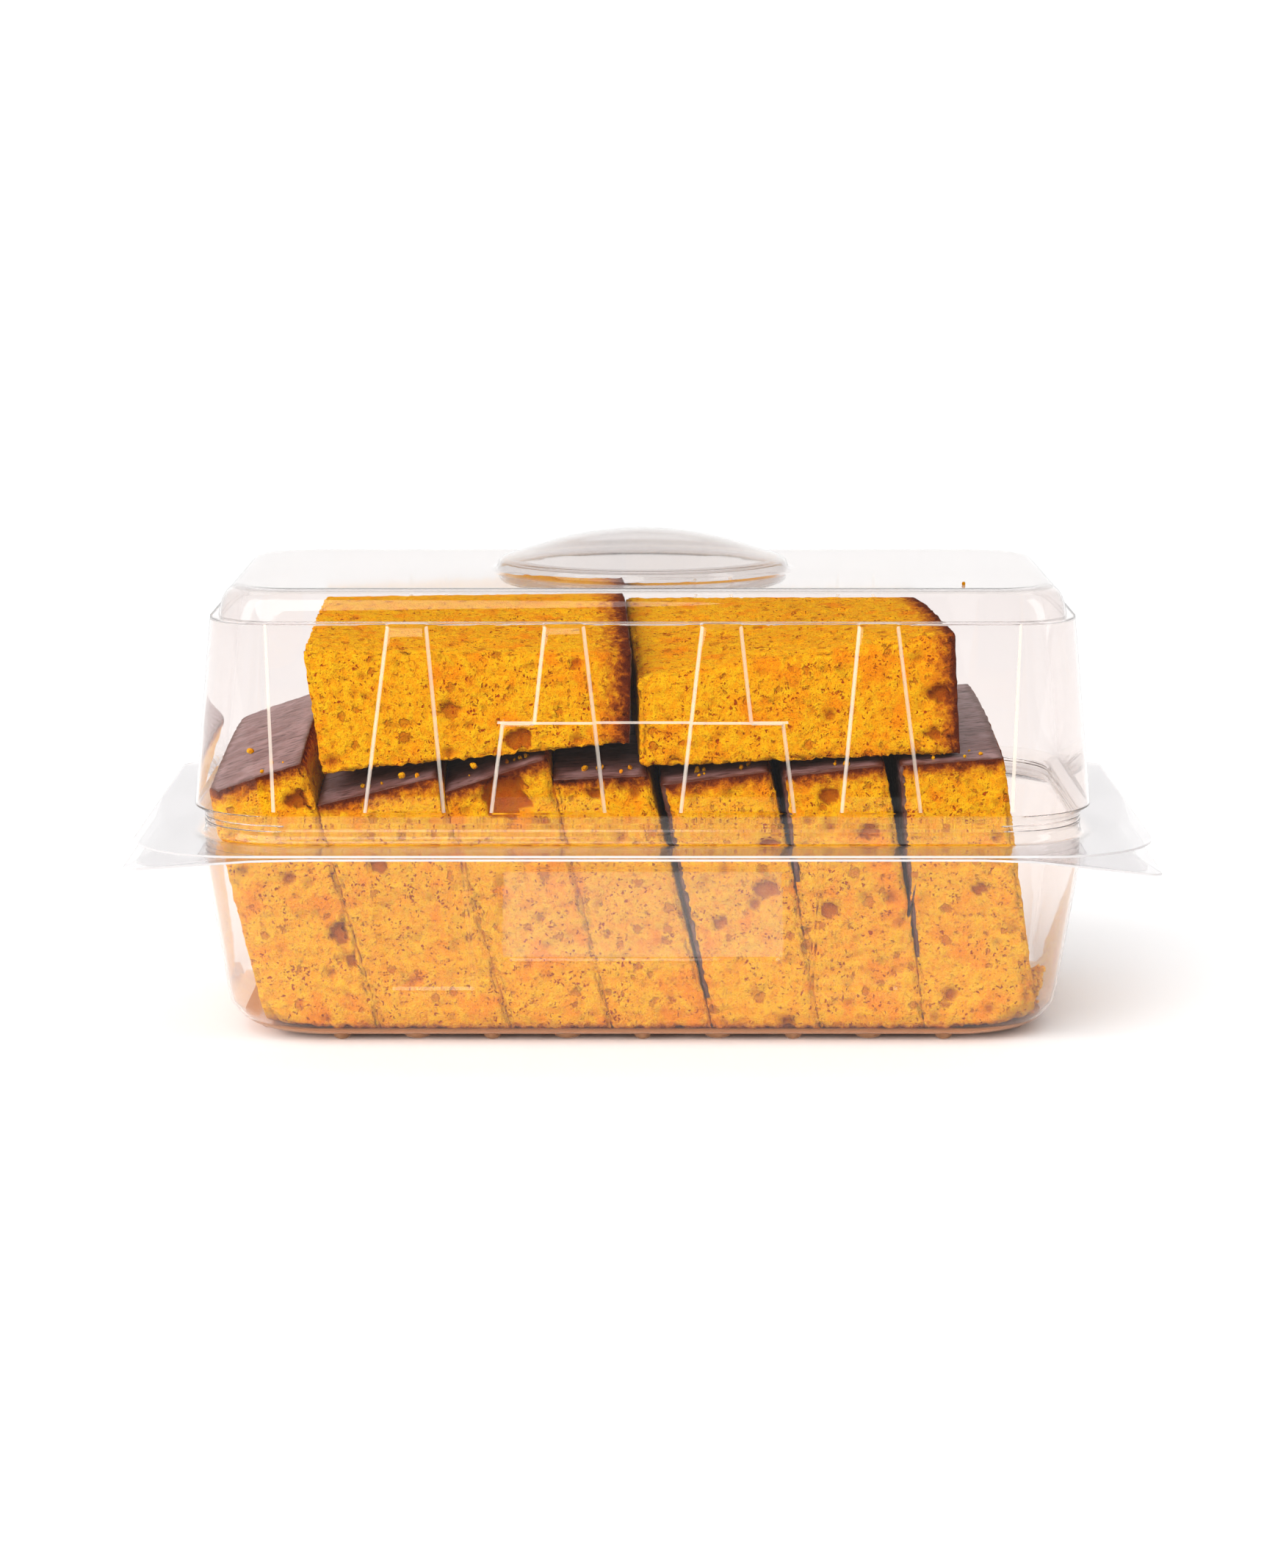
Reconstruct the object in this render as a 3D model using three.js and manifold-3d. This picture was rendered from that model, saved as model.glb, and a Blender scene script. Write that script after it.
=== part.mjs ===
// Sliced carrot cake in a clear hinged box: a shallow tray, a deep lid that swings up on the
// hinge along the back of its flange, seven slices standing in a row and two lying on top.
// Millimetres. +X runs along the box, -Y is the front and +Z is up. The origin is under the
// middle of the box, on the surface that its ribs stand on.
import * as THREE from "three";
import { mergeVertices } from "three/addons/utils/BufferGeometryUtils.js";
import Module from "manifold-3d";

const wasm = await Module();
wasm.setup();

// ---- Driving dimensions of the box ------------------------------------------------------

const SHEET = 0.5; // wall of the formed sheet
const EDGE = 1.1; // run of the small slope that every raised panel and flute has
const ARC_STEPS = 5; // flats round each corner of the box

const FLANGE = { halfX: 117.5, halfY: 67.5, corner: 4, lidCorner: 26, top: 47.6, shutGap: 0.3 };

const TRAY = {
  // Outside of the floor's edge, its bend and the wall, from the underside of the floor up.
  section: [
    { z: 1.6, half: [90, 41.3], corner: 17.5 },
    { z: 2.6, half: [93, 44.3], corner: 20 },
    { z: 5, half: [95.8, 46.8], corner: 21.6 },
    { z: 7.6, half: [97.5, 48.2], corner: 22.5 },
    { z: 47.6, half: [103.8, 53.8], corner: 25.5 },
  ],
  // The front corners of the flange hang a little, the right one more than the left.
  droop: { from: 85, left: 0.07, right: 0.11 },
  flute: { depth: -0.8, from: 14.5, to: 45.1, inner: [37.8, 41], outer: [58.6, 63.8] },
  panel: { depth: -0.7, from: 21.5, to: 41.9, edge: [31.4, 34] },
};

const RIB = {
  pitch: 17.55,
  root: 0.25, // how far a rib's top lies in the floor
  sides: 10,
  // Width and reach from the middle one out to the ends of the box.
  widths: [4.4, 7.2, 4.4, 7.2, 4.4, 5.4],
  reaches: [41.8, 41.8, 41.8, 41.8, 41.8, 30],
};
const FLOOR = TRAY.section[0].z;

const LID = {
  skirtHalf: [102, 53.3],
  skirtTop: 53.7,
  wallLow: 54.9,
  wallLowHalf: [104.3, 54.6],
  ledge: 99.1,
  ledgeHalf: [99.9, 50.3],
  capHalf: [[98.1, 47.9], [97.2, 47], [95.8, 45.8], [92.6, 43]],
  capHeight: [99.1, 102.9, 105.2, 106.1],
  corner: { low: 22.8, ledge: 15.8, cap: [15.4, 15, 14.2, 12.4] },
  flute: { depth: 1, inner: [44.5, 48.6], outer: [64.2, 58.6] }, // at the foot, at the ledge
  midFlute: { depth: 1, inner: [7.8, 12.9], outer: [27.8, 22.9] },
  panel: { depth: 1, top: 76.5, edge: [35.4, 29.7] },
};

const LENS = { radius: 34.2, step: 2.5, draft: 1.2, rise: 7, rings: [0.82, 0.5] };

// ---- Driving dimensions of the cake -----------------------------------------------------

const REST_GAP = 0.3; // air between faces that touch
const CRAG = 0.55; // depth of the open crumb's relief
const SLICE_EDGE = 2.2; // rounding of a slice's edges
const FLOOR_TOP = FLOOR + SHEET + REST_GAP;
const CORNER_AIR = 1.2; // from the outside of a corner in to the cake

// Each cut of the standing row: where it crosses half height, its lean from upright in
// degrees at the front and at the back, and the open gap at its top.
const HALF_HEIGHT = 33.5;
const CUTS = [
  { x: -94.4, lean: 13, backLean: 12, gap: 0 },
  { x: -69.2, lean: 15.5, backLean: 14.5, gap: 0.9 },
  { x: -39.0, lean: 15.5, backLean: 15, gap: 1.1 },
  { x: -14.2, lean: 13.5, backLean: 14, gap: 1.2 },
  { x: 9.2, lean: 13, backLean: 13.5, gap: 2.8 },
  { x: 36.0, lean: 10, backLean: 11.5, gap: 3.2 },
  { x: 61.6, lean: 7.5, backLean: 10, gap: 3.8 },
  { x: 87.8, lean: 8, backLean: 8.5, gap: 0 },
];
const CUT_GAP = 0.5; // gap of every cut at the floor
// Height of each standing slice's crust at its left and right edge, at the front.
const CRUST_HEIGHT = [
  [58.9, 66.1], [56.1, 62.9], [59.1, 67.1], [62.1, 63.1], [60.9, 64.1], [62.9, 65.5], [65.5, 67.2],
];
// The crust rises to the back, and its crown arches over that.
const ROW = { halfY: 44.4, foot: 43, backRise: 5, crown: 1.8, divisions: [5, 7, 9] };

// The slices on top lie on a cut side. Each end's corners are low left, low right, top right
// and top left, and sag is how far the underside arches over the crusts below.
const LYING = [
  {
    name: "slice_top_left",
    front: [[-73.8, 62.6], [-3.6, 69.9], [-3.2, 91.1], [-78, 91.9]],
    back: [[-75, 67.5], [-6.4, 74.4], [-7, 100.4], [-78.4, 97]],
    sag: 0.6,
  },
  {
    name: "slice_top_right",
    front: [[0.2, 64.1], [73.4, 67.3], [71.8, 96.1], [-0.6, 85.7]],
    back: [[-2.6, 69.2], [71, 72.4], [67.6, 96.2], [-3.4, 96]],
    sag: 1.2,
  },
];
const LYING_SIZE = { halfY: 42.4, divisions: [11, 7, 5] };

// Wide air holes that show in the front faces: slice, place across and up the face in mm,
// radius and depth.
const HOLES = [
  { slice: "slice_row_3", x: -29, z: 54.5, radius: 6.5, depth: 3.2 },
  { slice: "slice_row_1", x: -76, z: 33.5, radius: 5, depth: 2 },
  { slice: "slice_row_6", x: 47, z: 31.5, radius: 5, depth: 1.6 },
  { slice: "slice_top_left", x: -26, z: 74.5, radius: 5, depth: 2 },
  { slice: "slice_top_right", x: 66, z: 81.5, radius: 4, depth: 2 },
];

// ---- Formed sheet -----------------------------------------------------------------------

const mix = THREE.MathUtils.lerp;

// Half sizes part of the way from one ring to another.
function mixHalf(from, to, share) {
  return [mix(from[0], to[0], share), mix(from[1], to[1], share)];
}

// One quarter of a corner: from the front or back wall round to the side wall.
function cornerArc(half, radius, xSign, ySign) {
  return Array.from({ length: ARC_STEPS + 1 }, (_, step) => {
    const angle = (Math.PI / 2) * (step / ARC_STEPS);
    const x = half[0] - radius + radius * Math.sin(angle);
    const y = half[1] - radius + radius * Math.cos(angle);
    return new THREE.Vector2(xSign * x, ySign * y);
  });
}

// A long wall, left to right. marks are [x, outward offset] pairs for the right-hand half.
function longWall(marks, half, ySign) {
  const right = marks.map(([x, out]) => new THREE.Vector2(x, ySign * (half[1] + out)));
  const left = right.map((point) => new THREE.Vector2(-point.x, point.y)).reverse();
  return [...left, ...right];
}

// The closed outline of one ring, counter-clockwise seen from above, from the front left.
function outline(ring, reliefOf) {
  const { half, corner, frontCorner = corner } = ring;
  const front = longWall([...reliefOf(ring, true), [half[0] - frontCorner, 0]], half, -1);
  const back = longWall([...reliefOf(ring, false), [half[0] - corner, 0]], half, 1);
  return [
    ...front,
    ...cornerArc(half, frontCorner, 1, -1).slice(1),
    ...cornerArc(half, corner, 1, 1).slice(1).reverse(),
    ...back.reverse(),
    ...cornerArc(half, corner, -1, 1).slice(1),
    ...cornerArc(half, frontCorner, -1, -1).slice(1).reverse(),
  ];
}

// A round ring with as many points as the outline has, starting in line with its front left.
function roundRing(radius, count, frontCount) {
  return Array.from({ length: count }, (_, step) => {
    const angle = -Math.PI / 2 + ((step - (frontCount - 1) / 2) * 2 * Math.PI) / count;
    return new THREE.Vector2(radius * Math.cos(angle), radius * Math.sin(angle));
  });
}

// How far down the tray's flange hangs at a point of its edge.
function droopAt({ x, y }) {
  const { from, left, right } = TRAY.droop;
  return y < 0 ? (x < 0 ? left : right) * Math.max(Math.abs(x) - from, 0) : 0;
}

// A closed sheet from rings that run from the middle of one face, over the rim, to the middle
// of the other. A turned profile gives the faces, and each turn is set on its ring's outline.
function formedSheet(rings, reliefOf) {
  const rim = rings.find((ring) => ring.half);
  const count = outline(rim, reliefOf).length;
  const frontCount = 2 * (reliefOf(rim, true).length + 1);
  const loops = rings.map((ring) =>
    ring.half ? outline(ring, reliefOf) : roundRing(ring.radius, count, frontCount),
  );
  const profile = rings.map((ring, row) => new THREE.Vector2(ring.radius === 0 ? 0 : 1, row));
  const geometry = new THREE.LatheGeometry(profile, count);
  const place = geometry.attributes.position;
  for (let turn = 0; turn <= count; turn++) {
    rings.forEach((ring, row) => {
      const point = loops[row][turn % count];
      const z = ring.hangs ? ring.z - droopAt(point) : ring.z;
      place.setXYZ(turn * rings.length + row, point.x, point.y, z);
    });
  }
  return geometry;
}

// The same ring on the other face of the sheet: in by a wall, and up or down by lift.
function innerRing(ring, lift) {
  const inner = { ...ring, z: ring.z + lift };
  if (ring.half) {
    inner.half = ring.half.map((size) => size - SHEET);
    inner.corner = Math.max(ring.corner - SHEET, 1);
    if (ring.frontCorner) inner.frontCorner = ring.frontCorner - SHEET;
  }
  if (ring.radius) inner.radius = ring.radius - SHEET;
  return inner;
}

// Marks for one raised or sunk strip between two lines of a long wall.
function strip(from, to, depth) {
  return [[from, 0], [from + EDGE, depth], [to - EDGE, depth], [to, 0]];
}

// ---- Tray -------------------------------------------------------------------------------

function trayRelief(ring, isFront) {
  const { flute, panel } = TRAY;
  const share = ring.share ?? 0;
  const edge = mix(panel.edge[0], panel.edge[1], share);
  const sunk = isFront && ring.panel ? panel.depth : 0;
  const deep = ring.flute ? flute.depth : 0;
  return [
    [edge - EDGE, sunk],
    [edge, 0],
    ...strip(mix(flute.inner[0], flute.inner[1], share), mix(flute.outer[0], flute.outer[1], share), deep),
  ];
}

// A ring of the tray's outside at one height, with the shapes that are there.
function trayAt(z, shapes) {
  const { section } = TRAY;
  const above = Math.max(section.findIndex((ring) => ring.z >= z), 1);
  const [from, to] = [section[above - 1], section[above]];
  const part = (z - from.z) / (to.z - from.z);
  const half = mixHalf(from.half, to.half, part);
  const [low, rim] = section.slice(-2);
  const share = Math.max((z - low.z) / (rim.z - low.z), 0);
  return { z, half, share, corner: mix(from.corner, to.corner, part), ...shapes };
}

function trayRings() {
  const { flute, panel } = TRAY;
  const under = FLANGE.top - SHEET;
  const [floorEdge, ...bend] = TRAY.section.slice(0, -2);
  const wall = [
    trayAt(TRAY.section.at(-2).z, {}),
    trayAt(flute.from, { flute: true }),
    trayAt(panel.from - EDGE, { flute: true }),
    trayAt(panel.from, { flute: true, panel: true }),
    trayAt(panel.to, { flute: true, panel: true }),
    trayAt(panel.to + EDGE, { flute: true }),
    trayAt(flute.to, { flute: true }),
    trayAt(under, {}),
  ];
  const lip = {
    z: under,
    half: [FLANGE.halfX, FLANGE.halfY],
    corner: FLANGE.corner,
    share: 1,
    hangs: true,
  };
  const outside = [{ z: FLOOR, radius: 0 }, floorEdge, ...bend, ...wall, lip];
  const inside = [
    { ...lip, z: FLANGE.top },
    innerRing({ ...wall.at(-1), z: FLANGE.top }, 0),
    ...wall.slice(0, -1).reverse().map((ring) => innerRing(ring, 0)),
    ...bend.slice().reverse().map((ring) => innerRing(ring, SHEET / 2)),
    innerRing(floorEdge, SHEET),
    { z: FLOOR + SHEET, radius: 0 },
  ];
  return [...outside, ...inside];
}

// One rib under the floor, from front to back, with round ends and a flat along its foot.
function ribBlock(step) {
  const width = RIB.widths[Math.abs(step)];
  const straight = RIB.reaches[Math.abs(step)] - width / 2;
  const depth = FLOOR + RIB.root;
  const steep = depth / Math.cos(Math.PI / RIB.sides);
  const barrel = new THREE.CapsuleGeometry(1, 2 * straight, 2, RIB.sides);
  const place = barrel.attributes.position;
  for (let i = 0; i < place.count; i++) {
    const end = Math.sign(place.getY(i)) * straight;
    const y = end + ((place.getY(i) - end) * width) / 2;
    place.setXYZ(i, (place.getX(i) * width) / 2, y, Math.min(place.getZ(i), 0) * steep);
  }
  return barrel.translate(step * RIB.pitch, 0, depth);
}

function trayGeometry() {
  let tray = solidOf(formedSheet(trayRings(), trayRelief));
  const last = RIB.widths.length - 1;
  for (let step = -last; step <= last; step++) {
    tray = tray.add(solidOf(ribBlock(step)));
  }
  return geometryOf(tray);
}

// ---- Lid --------------------------------------------------------------------------------

function lidRelief(ring, isFront) {
  const { flute, midFlute, panel } = LID;
  const share = ring.share ?? 0;
  const at = (pair) => mix(pair[0], pair[1], share);
  const onPanel = isFront && ring.panel;
  const raised = ring.flute ? flute.depth : 0;
  const between = onPanel ? panel.depth : 0;
  return [
    [at(midFlute.inner), 0],
    [at(midFlute.inner) + EDGE, raised],
    [at(midFlute.outer) - EDGE, raised],
    [at(midFlute.outer), between],
    [at(panel.edge) - EDGE, between],
    [at(panel.edge), 0],
    ...strip(at(flute.inner), at(flute.outer), raised),
  ];
}

// A ring of the lid's wall at one height, with the shapes that are there.
function lidWall(z, shapes) {
  const share = (z - LID.wallLow) / (LID.ledge - LID.wallLow);
  const half = mixHalf(LID.wallLowHalf, LID.ledgeHalf, share);
  return { z, half, share, corner: mix(LID.corner.low, LID.corner.ledge, share), ...shapes };
}

function lensRings() {
  const { radius, step, draft, rise, rings } = LENS;
  const top = LID.capHeight.at(-1);
  const crown = radius - draft;
  const dome = rings.map((share) => ({
    radius: crown * share,
    z: top + step + rise * (1 - share * share),
  }));
  return [
    { radius, z: top },
    { radius: crown, z: top + step },
    ...dome,
    { radius: 0, z: top + step + rise },
  ];
}

function lidRings() {
  const flangeTop = FLANGE.top + FLANGE.shutGap + SHEET;
  const lip = {
    z: flangeTop,
    half: [FLANGE.halfX, FLANGE.halfY],
    corner: FLANGE.corner,
    frontCorner: FLANGE.lidCorner,
  };
  const skirt = [
    { z: flangeTop, half: LID.skirtHalf, corner: LID.corner.low - 2 },
    { z: LID.skirtTop, half: LID.skirtHalf, corner: LID.corner.low - 2 },
  ];
  const wall = [
    lidWall(LID.wallLow, {}),
    lidWall(LID.wallLow + EDGE, { flute: true, panel: true }),
    lidWall(LID.panel.top - EDGE / 2, { flute: true, panel: true }),
    lidWall(LID.panel.top + EDGE / 2, { flute: true }),
    lidWall(LID.ledge - EDGE, { flute: true }),
    lidWall(LID.ledge, {}),
  ];
  const cap = LID.capHalf.map((half, step) => ({
    z: LID.capHeight[step],
    half,
    corner: LID.corner.cap[step],
    share: 1,
  }));
  const lens = lensRings();
  const flat = -SHEET;
  const inside = [
    ...skirt.slice(0, 1).map((ring) => innerRing(ring, flat)),
    ...skirt.slice(1).map((ring) => innerRing(ring, SHEET / 2)),
    ...wall.slice(0, 1).map((ring) => innerRing(ring, SHEET / 2)),
    ...wall.slice(1, -1).map((ring) => innerRing(ring, 0)),
    innerRing(wall.at(-1), flat),
    ...cap.map((ring) => innerRing(ring, flat)),
    ...lens.map((ring) => innerRing(ring, flat)),
  ];
  const outside = [lip, ...skirt, ...wall, ...cap, ...lens];
  return [...inside.reverse(), { ...lip, z: flangeTop - SHEET }, ...outside];
}

// ---- Cake -------------------------------------------------------------------------------

// Uneven open crumb: 0 to 1, the same for the same place, different for each slice.
function crumb(point, seed) {
  const coarse = Math.sin(point.x * 0.61 + seed) * Math.sin(point.y * 0.47 - 2 * seed);
  const fine = Math.sin(point.x * 1.7 - point.z * 1.3 + 3 * seed);
  const along = Math.sin(point.z * 0.72 + point.y * 0.93 + seed);
  return THREE.MathUtils.clamp(0.5 + 0.22 * (coarse + fine + along), 0, 1);
}

// Point of the quadrilateral low left, low right, top right, top left at -1 to 1 both ways.
function onSection(corners, across, up) {
  const [lowLeft, lowRight, topRight, topLeft] = corners;
  const share = (across + 1) / 2;
  const low = mixHalf(lowLeft, lowRight, share);
  const top = mixHalf(topLeft, topRight, share);
  return mixHalf(low, top, (up + 1) / 2);
}

// Keeps a point clear of the rounded corners that the box's walls have in plan.
function clearOfCorners(point) {
  const { half, corner } = trayAt(Math.min(point.z - 2 * SHEET, FLANGE.top), {});
  const beyond = new THREE.Vector2(
    Math.abs(point.x) - half[0] + corner,
    Math.abs(point.y) - half[1] + corner,
  );
  const over = beyond.length() - (corner - CORNER_AIR);
  if (Math.min(beyond.x, beyond.y) > 0 && over > 0) {
    const pull = beyond.setLength(over);
    point.x -= Math.sign(point.x) * pull.x;
    point.y -= Math.sign(point.y) * pull.y;
  }
  return point;
}

// Grid line of a slice's face: the outermost ones lie where the round edge begins.
function gridLine(value, half, divisions) {
  const first = half * (1 - 2 / divisions);
  return Math.abs(value) > first + SLICE_EDGE / divisions
    ? value
    : (value * (half - SLICE_EDGE)) / first;
}

// A slice of cake: a section in X and Z carried from its front to its back, with round edges,
// crags that only cut inwards, and the arch over its length that reachOf and archOf give.
function sliceGeometry({ name, front, back, divisions, seed, reachOf, archOf }) {
  const [lowLeft, lowRight, , topLeft] = front;
  const half = new THREE.Vector3(
    Math.abs(lowRight[0] - lowLeft[0]) / 2,
    reachOf(1),
    Math.hypot(topLeft[0] - lowLeft[0], topLeft[1] - lowLeft[1]) / 2,
  );
  const size = half.clone().multiplyScalar(2);
  const block = new THREE.BoxGeometry(size.x, size.y, size.z, ...divisions);
  const core = half.clone().subScalar(SLICE_EDGE);
  const holes = HOLES.filter((hole) => hole.slice === name);
  const place = block.attributes.position;
  const point = new THREE.Vector3();
  for (let i = 0; i < place.count; i++) {
    point.set(
      gridLine(place.getX(i), half.x, divisions[0]),
      gridLine(place.getY(i), half.y, divisions[1]),
      gridLine(place.getZ(i), half.z, divisions[2]),
    );
    const nearest = point.clone().clamp(core.clone().negate(), core);
    const outward = point.clone().sub(nearest).normalize();
    const depth = CRAG * crumb(point, seed);
    point.copy(nearest).addScaledVector(outward, SLICE_EDGE - depth);
    const across = point.x / half.x;
    const up = point.z / half.z;
    const along = point.y / half.y;
    const share = (along + 1) / 2;
    const [x, z] = mixHalf(onSection(front, across, up), onSection(back, across, up), share);
    let y = along * reachOf(up);
    if (outward.y < -0.9) {
      for (const hole of holes) {
        y += hole.depth * Math.exp(-(((x - hole.x) ** 2 + (z - hole.z) ** 2) / hole.radius ** 2));
      }
    }
    point.set(x, y, z + archOf(up) * (1 - along * along));
    place.setXYZ(i, ...clearOfCorners(point).toArray());
  }
  return block;
}

// A point of a cut at one height, moved by half its gap to the side that is asked for.
function cutPoint(cut, degrees, z, side) {
  const lean = Math.tan(THREE.MathUtils.degToRad(degrees));
  const share = (z - FLOOR_TOP) / (2 * HALF_HEIGHT - FLOOR_TOP);
  const gap = mix(CUT_GAP, Math.max(cut.gap, CUT_GAP), share);
  return [cut.x - (z - HALF_HEIGHT) * lean + (side * gap) / 2, z];
}

function standingSlice(index) {
  const [left, right] = CUTS.slice(index, index + 2);
  const [leftTop, rightTop] = CRUST_HEIGHT[index];
  const section = (angle, rise) => [
    cutPoint(left, left[angle], FLOOR_TOP, 1),
    cutPoint(right, right[angle], FLOOR_TOP, -1),
    cutPoint(right, right[angle], rightTop + rise, -1),
    cutPoint(left, left[angle], leftTop + rise, 1),
  ];
  return sliceGeometry({
    name: `slice_row_${index + 1}`,
    front: section("lean", 0),
    back: section("backLean", ROW.backRise),
    divisions: ROW.divisions,
    seed: index + 1,
    reachOf: (up) => mix(ROW.foot, ROW.halfY, (up + 1) / 2),
    archOf: (up) => Math.max(up, 0) * ROW.crown,
  });
}

function lyingSlice(slice, index) {
  return sliceGeometry({
    ...slice,
    divisions: LYING_SIZE.divisions,
    seed: CRUST_HEIGHT.length + index + 1,
    reachOf: () => LYING_SIZE.halfY,
    archOf: (up) => (slice.sag * (1 - up)) / 2,
  });
}

// ---- Solids and meshes ------------------------------------------------------------------

// A closed geometry as a solid that can be joined to others.
function solidOf(geometry) {
  const bare = new THREE.BufferGeometry();
  bare.setAttribute("position", geometry.attributes.position);
  bare.setIndex(geometry.index);
  const merged = mergeVertices(bare, 1e-3);
  return new wasm.Manifold(
    new wasm.Mesh({
      numProp: 3,
      vertProperties: merged.attributes.position.array,
      triVerts: new Uint32Array(merged.index.array),
    }),
  );
}

function geometryOf(solid) {
  const { vertProperties, triVerts } = solid.getMesh();
  const geometry = new THREE.BufferGeometry();
  geometry.setAttribute("position", new THREE.BufferAttribute(vertProperties, 3));
  geometry.setIndex(new THREE.BufferAttribute(triVerts, 1));
  return geometry;
}

function clearSheet() {
  return new THREE.MeshStandardMaterial({
    color: 0xf3eeee,
    roughness: 0.08,
    metalness: 0,
    transparent: true,
    opacity: 0.25,
  });
}

function cakeCrumb() {
  return new THREE.MeshStandardMaterial({ color: 0xf0a428, roughness: 0.95, metalness: 0 });
}

function piece(name, geometry, material) {
  geometry.computeVertexNormals();
  const mesh = new THREE.Mesh(geometry, material);
  mesh.name = name;
  return mesh;
}

const cakeBox = new THREE.Group();
cakeBox.add(piece("base_tray", trayGeometry(), clearSheet()));
cakeBox.add(piece("lid_shell", formedSheet(lidRings(), lidRelief), clearSheet()));
for (let index = 0; index < CRUST_HEIGHT.length; index++) {
  cakeBox.add(piece(`slice_row_${index + 1}`, standingSlice(index), cakeCrumb()));
}
LYING.forEach((slice, index) => {
  cakeBox.add(piece(slice.name, lyingSlice(slice, index), cakeCrumb()));
});

export default cakeBox;
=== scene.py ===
"""Sliced carrot cake in a clear hinged box: looks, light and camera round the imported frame.

Sizes in the classes are in millimetres in the part's own frame (+X along the box, -Y its
front, +Z up); meshes are written in metres.
"""

import logging
import math
import random
from dataclasses import dataclass, field
from enum import Enum
from typing import Iterable, Optional, Sequence

import bmesh
import bpy
from mathutils import Euler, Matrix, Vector, noise


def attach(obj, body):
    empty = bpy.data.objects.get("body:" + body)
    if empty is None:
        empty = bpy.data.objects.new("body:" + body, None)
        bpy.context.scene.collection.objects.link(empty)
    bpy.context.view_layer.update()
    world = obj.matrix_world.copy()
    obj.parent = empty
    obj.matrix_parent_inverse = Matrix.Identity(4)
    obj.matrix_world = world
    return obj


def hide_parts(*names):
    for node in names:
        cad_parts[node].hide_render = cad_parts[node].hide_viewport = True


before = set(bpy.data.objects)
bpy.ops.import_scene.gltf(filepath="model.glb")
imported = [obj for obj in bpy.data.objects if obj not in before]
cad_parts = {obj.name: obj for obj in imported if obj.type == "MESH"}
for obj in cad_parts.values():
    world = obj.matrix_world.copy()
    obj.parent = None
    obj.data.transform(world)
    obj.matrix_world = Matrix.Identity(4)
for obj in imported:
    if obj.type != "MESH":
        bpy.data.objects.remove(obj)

log = logging.getLogger("cake_box")

MM = 0.001
Color = tuple[float, float, float]
Pair = tuple[float, float]
Point = tuple[float, float, float]
Socket = bpy.types.NodeSocket
SHADER = "ShaderNodeBsdfPrincipled"


# ---- Small helpers ----------------------------------------------------------------------


def mix(low: float, high: float, share: float) -> float:
    """Value part of the way from low to high."""
    return low + (high - low) * share


def mix_pair(low: Sequence[float], high: Sequence[float], share: float) -> Pair:
    """Pair part of the way from low to high."""
    return (mix(low[0], high[0], share), mix(low[1], high[1], share))


def smooth(value: float) -> float:
    """Smooth step of a value, from 0 at or below 0 to 1 at or above 1."""
    value = min(max(value, 0.0), 1.0)
    return value * value * (3.0 - 2.0 * value)


def finish_mesh(bm: bmesh.types.BMesh, name: str, materials: Sequence[bpy.types.Material],
                sharp_deg: float = 180.0) -> bpy.types.Object:
    """Turns a bmesh in millimetres into a smooth-shaded object at the origin.

    Args:
        bm: the shape in millimetres; it is freed.
        name: name of the object and its mesh.
        materials: its material slots in order.
        sharp_deg: edges that turn by more than this stay sharp.

    Returns:
        The new object, linked to the scene.
    """
    for vert in bm.verts:
        vert.co *= MM
    bm.normal_update()
    limit = math.radians(sharp_deg)
    for face in bm.faces:
        face.smooth = True
    for edge in bm.edges:
        edge.smooth = not edge.is_boundary and edge.calc_face_angle(0.0) < limit
    mesh = bpy.data.meshes.new(name)
    bm.to_mesh(mesh)
    bm.free()
    for material in materials:
        mesh.materials.append(material)
    piece = bpy.data.objects.new(name, mesh)
    bpy.context.scene.collection.objects.link(piece)
    return piece


# ---- Finishes ---------------------------------------------------------------------------


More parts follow.
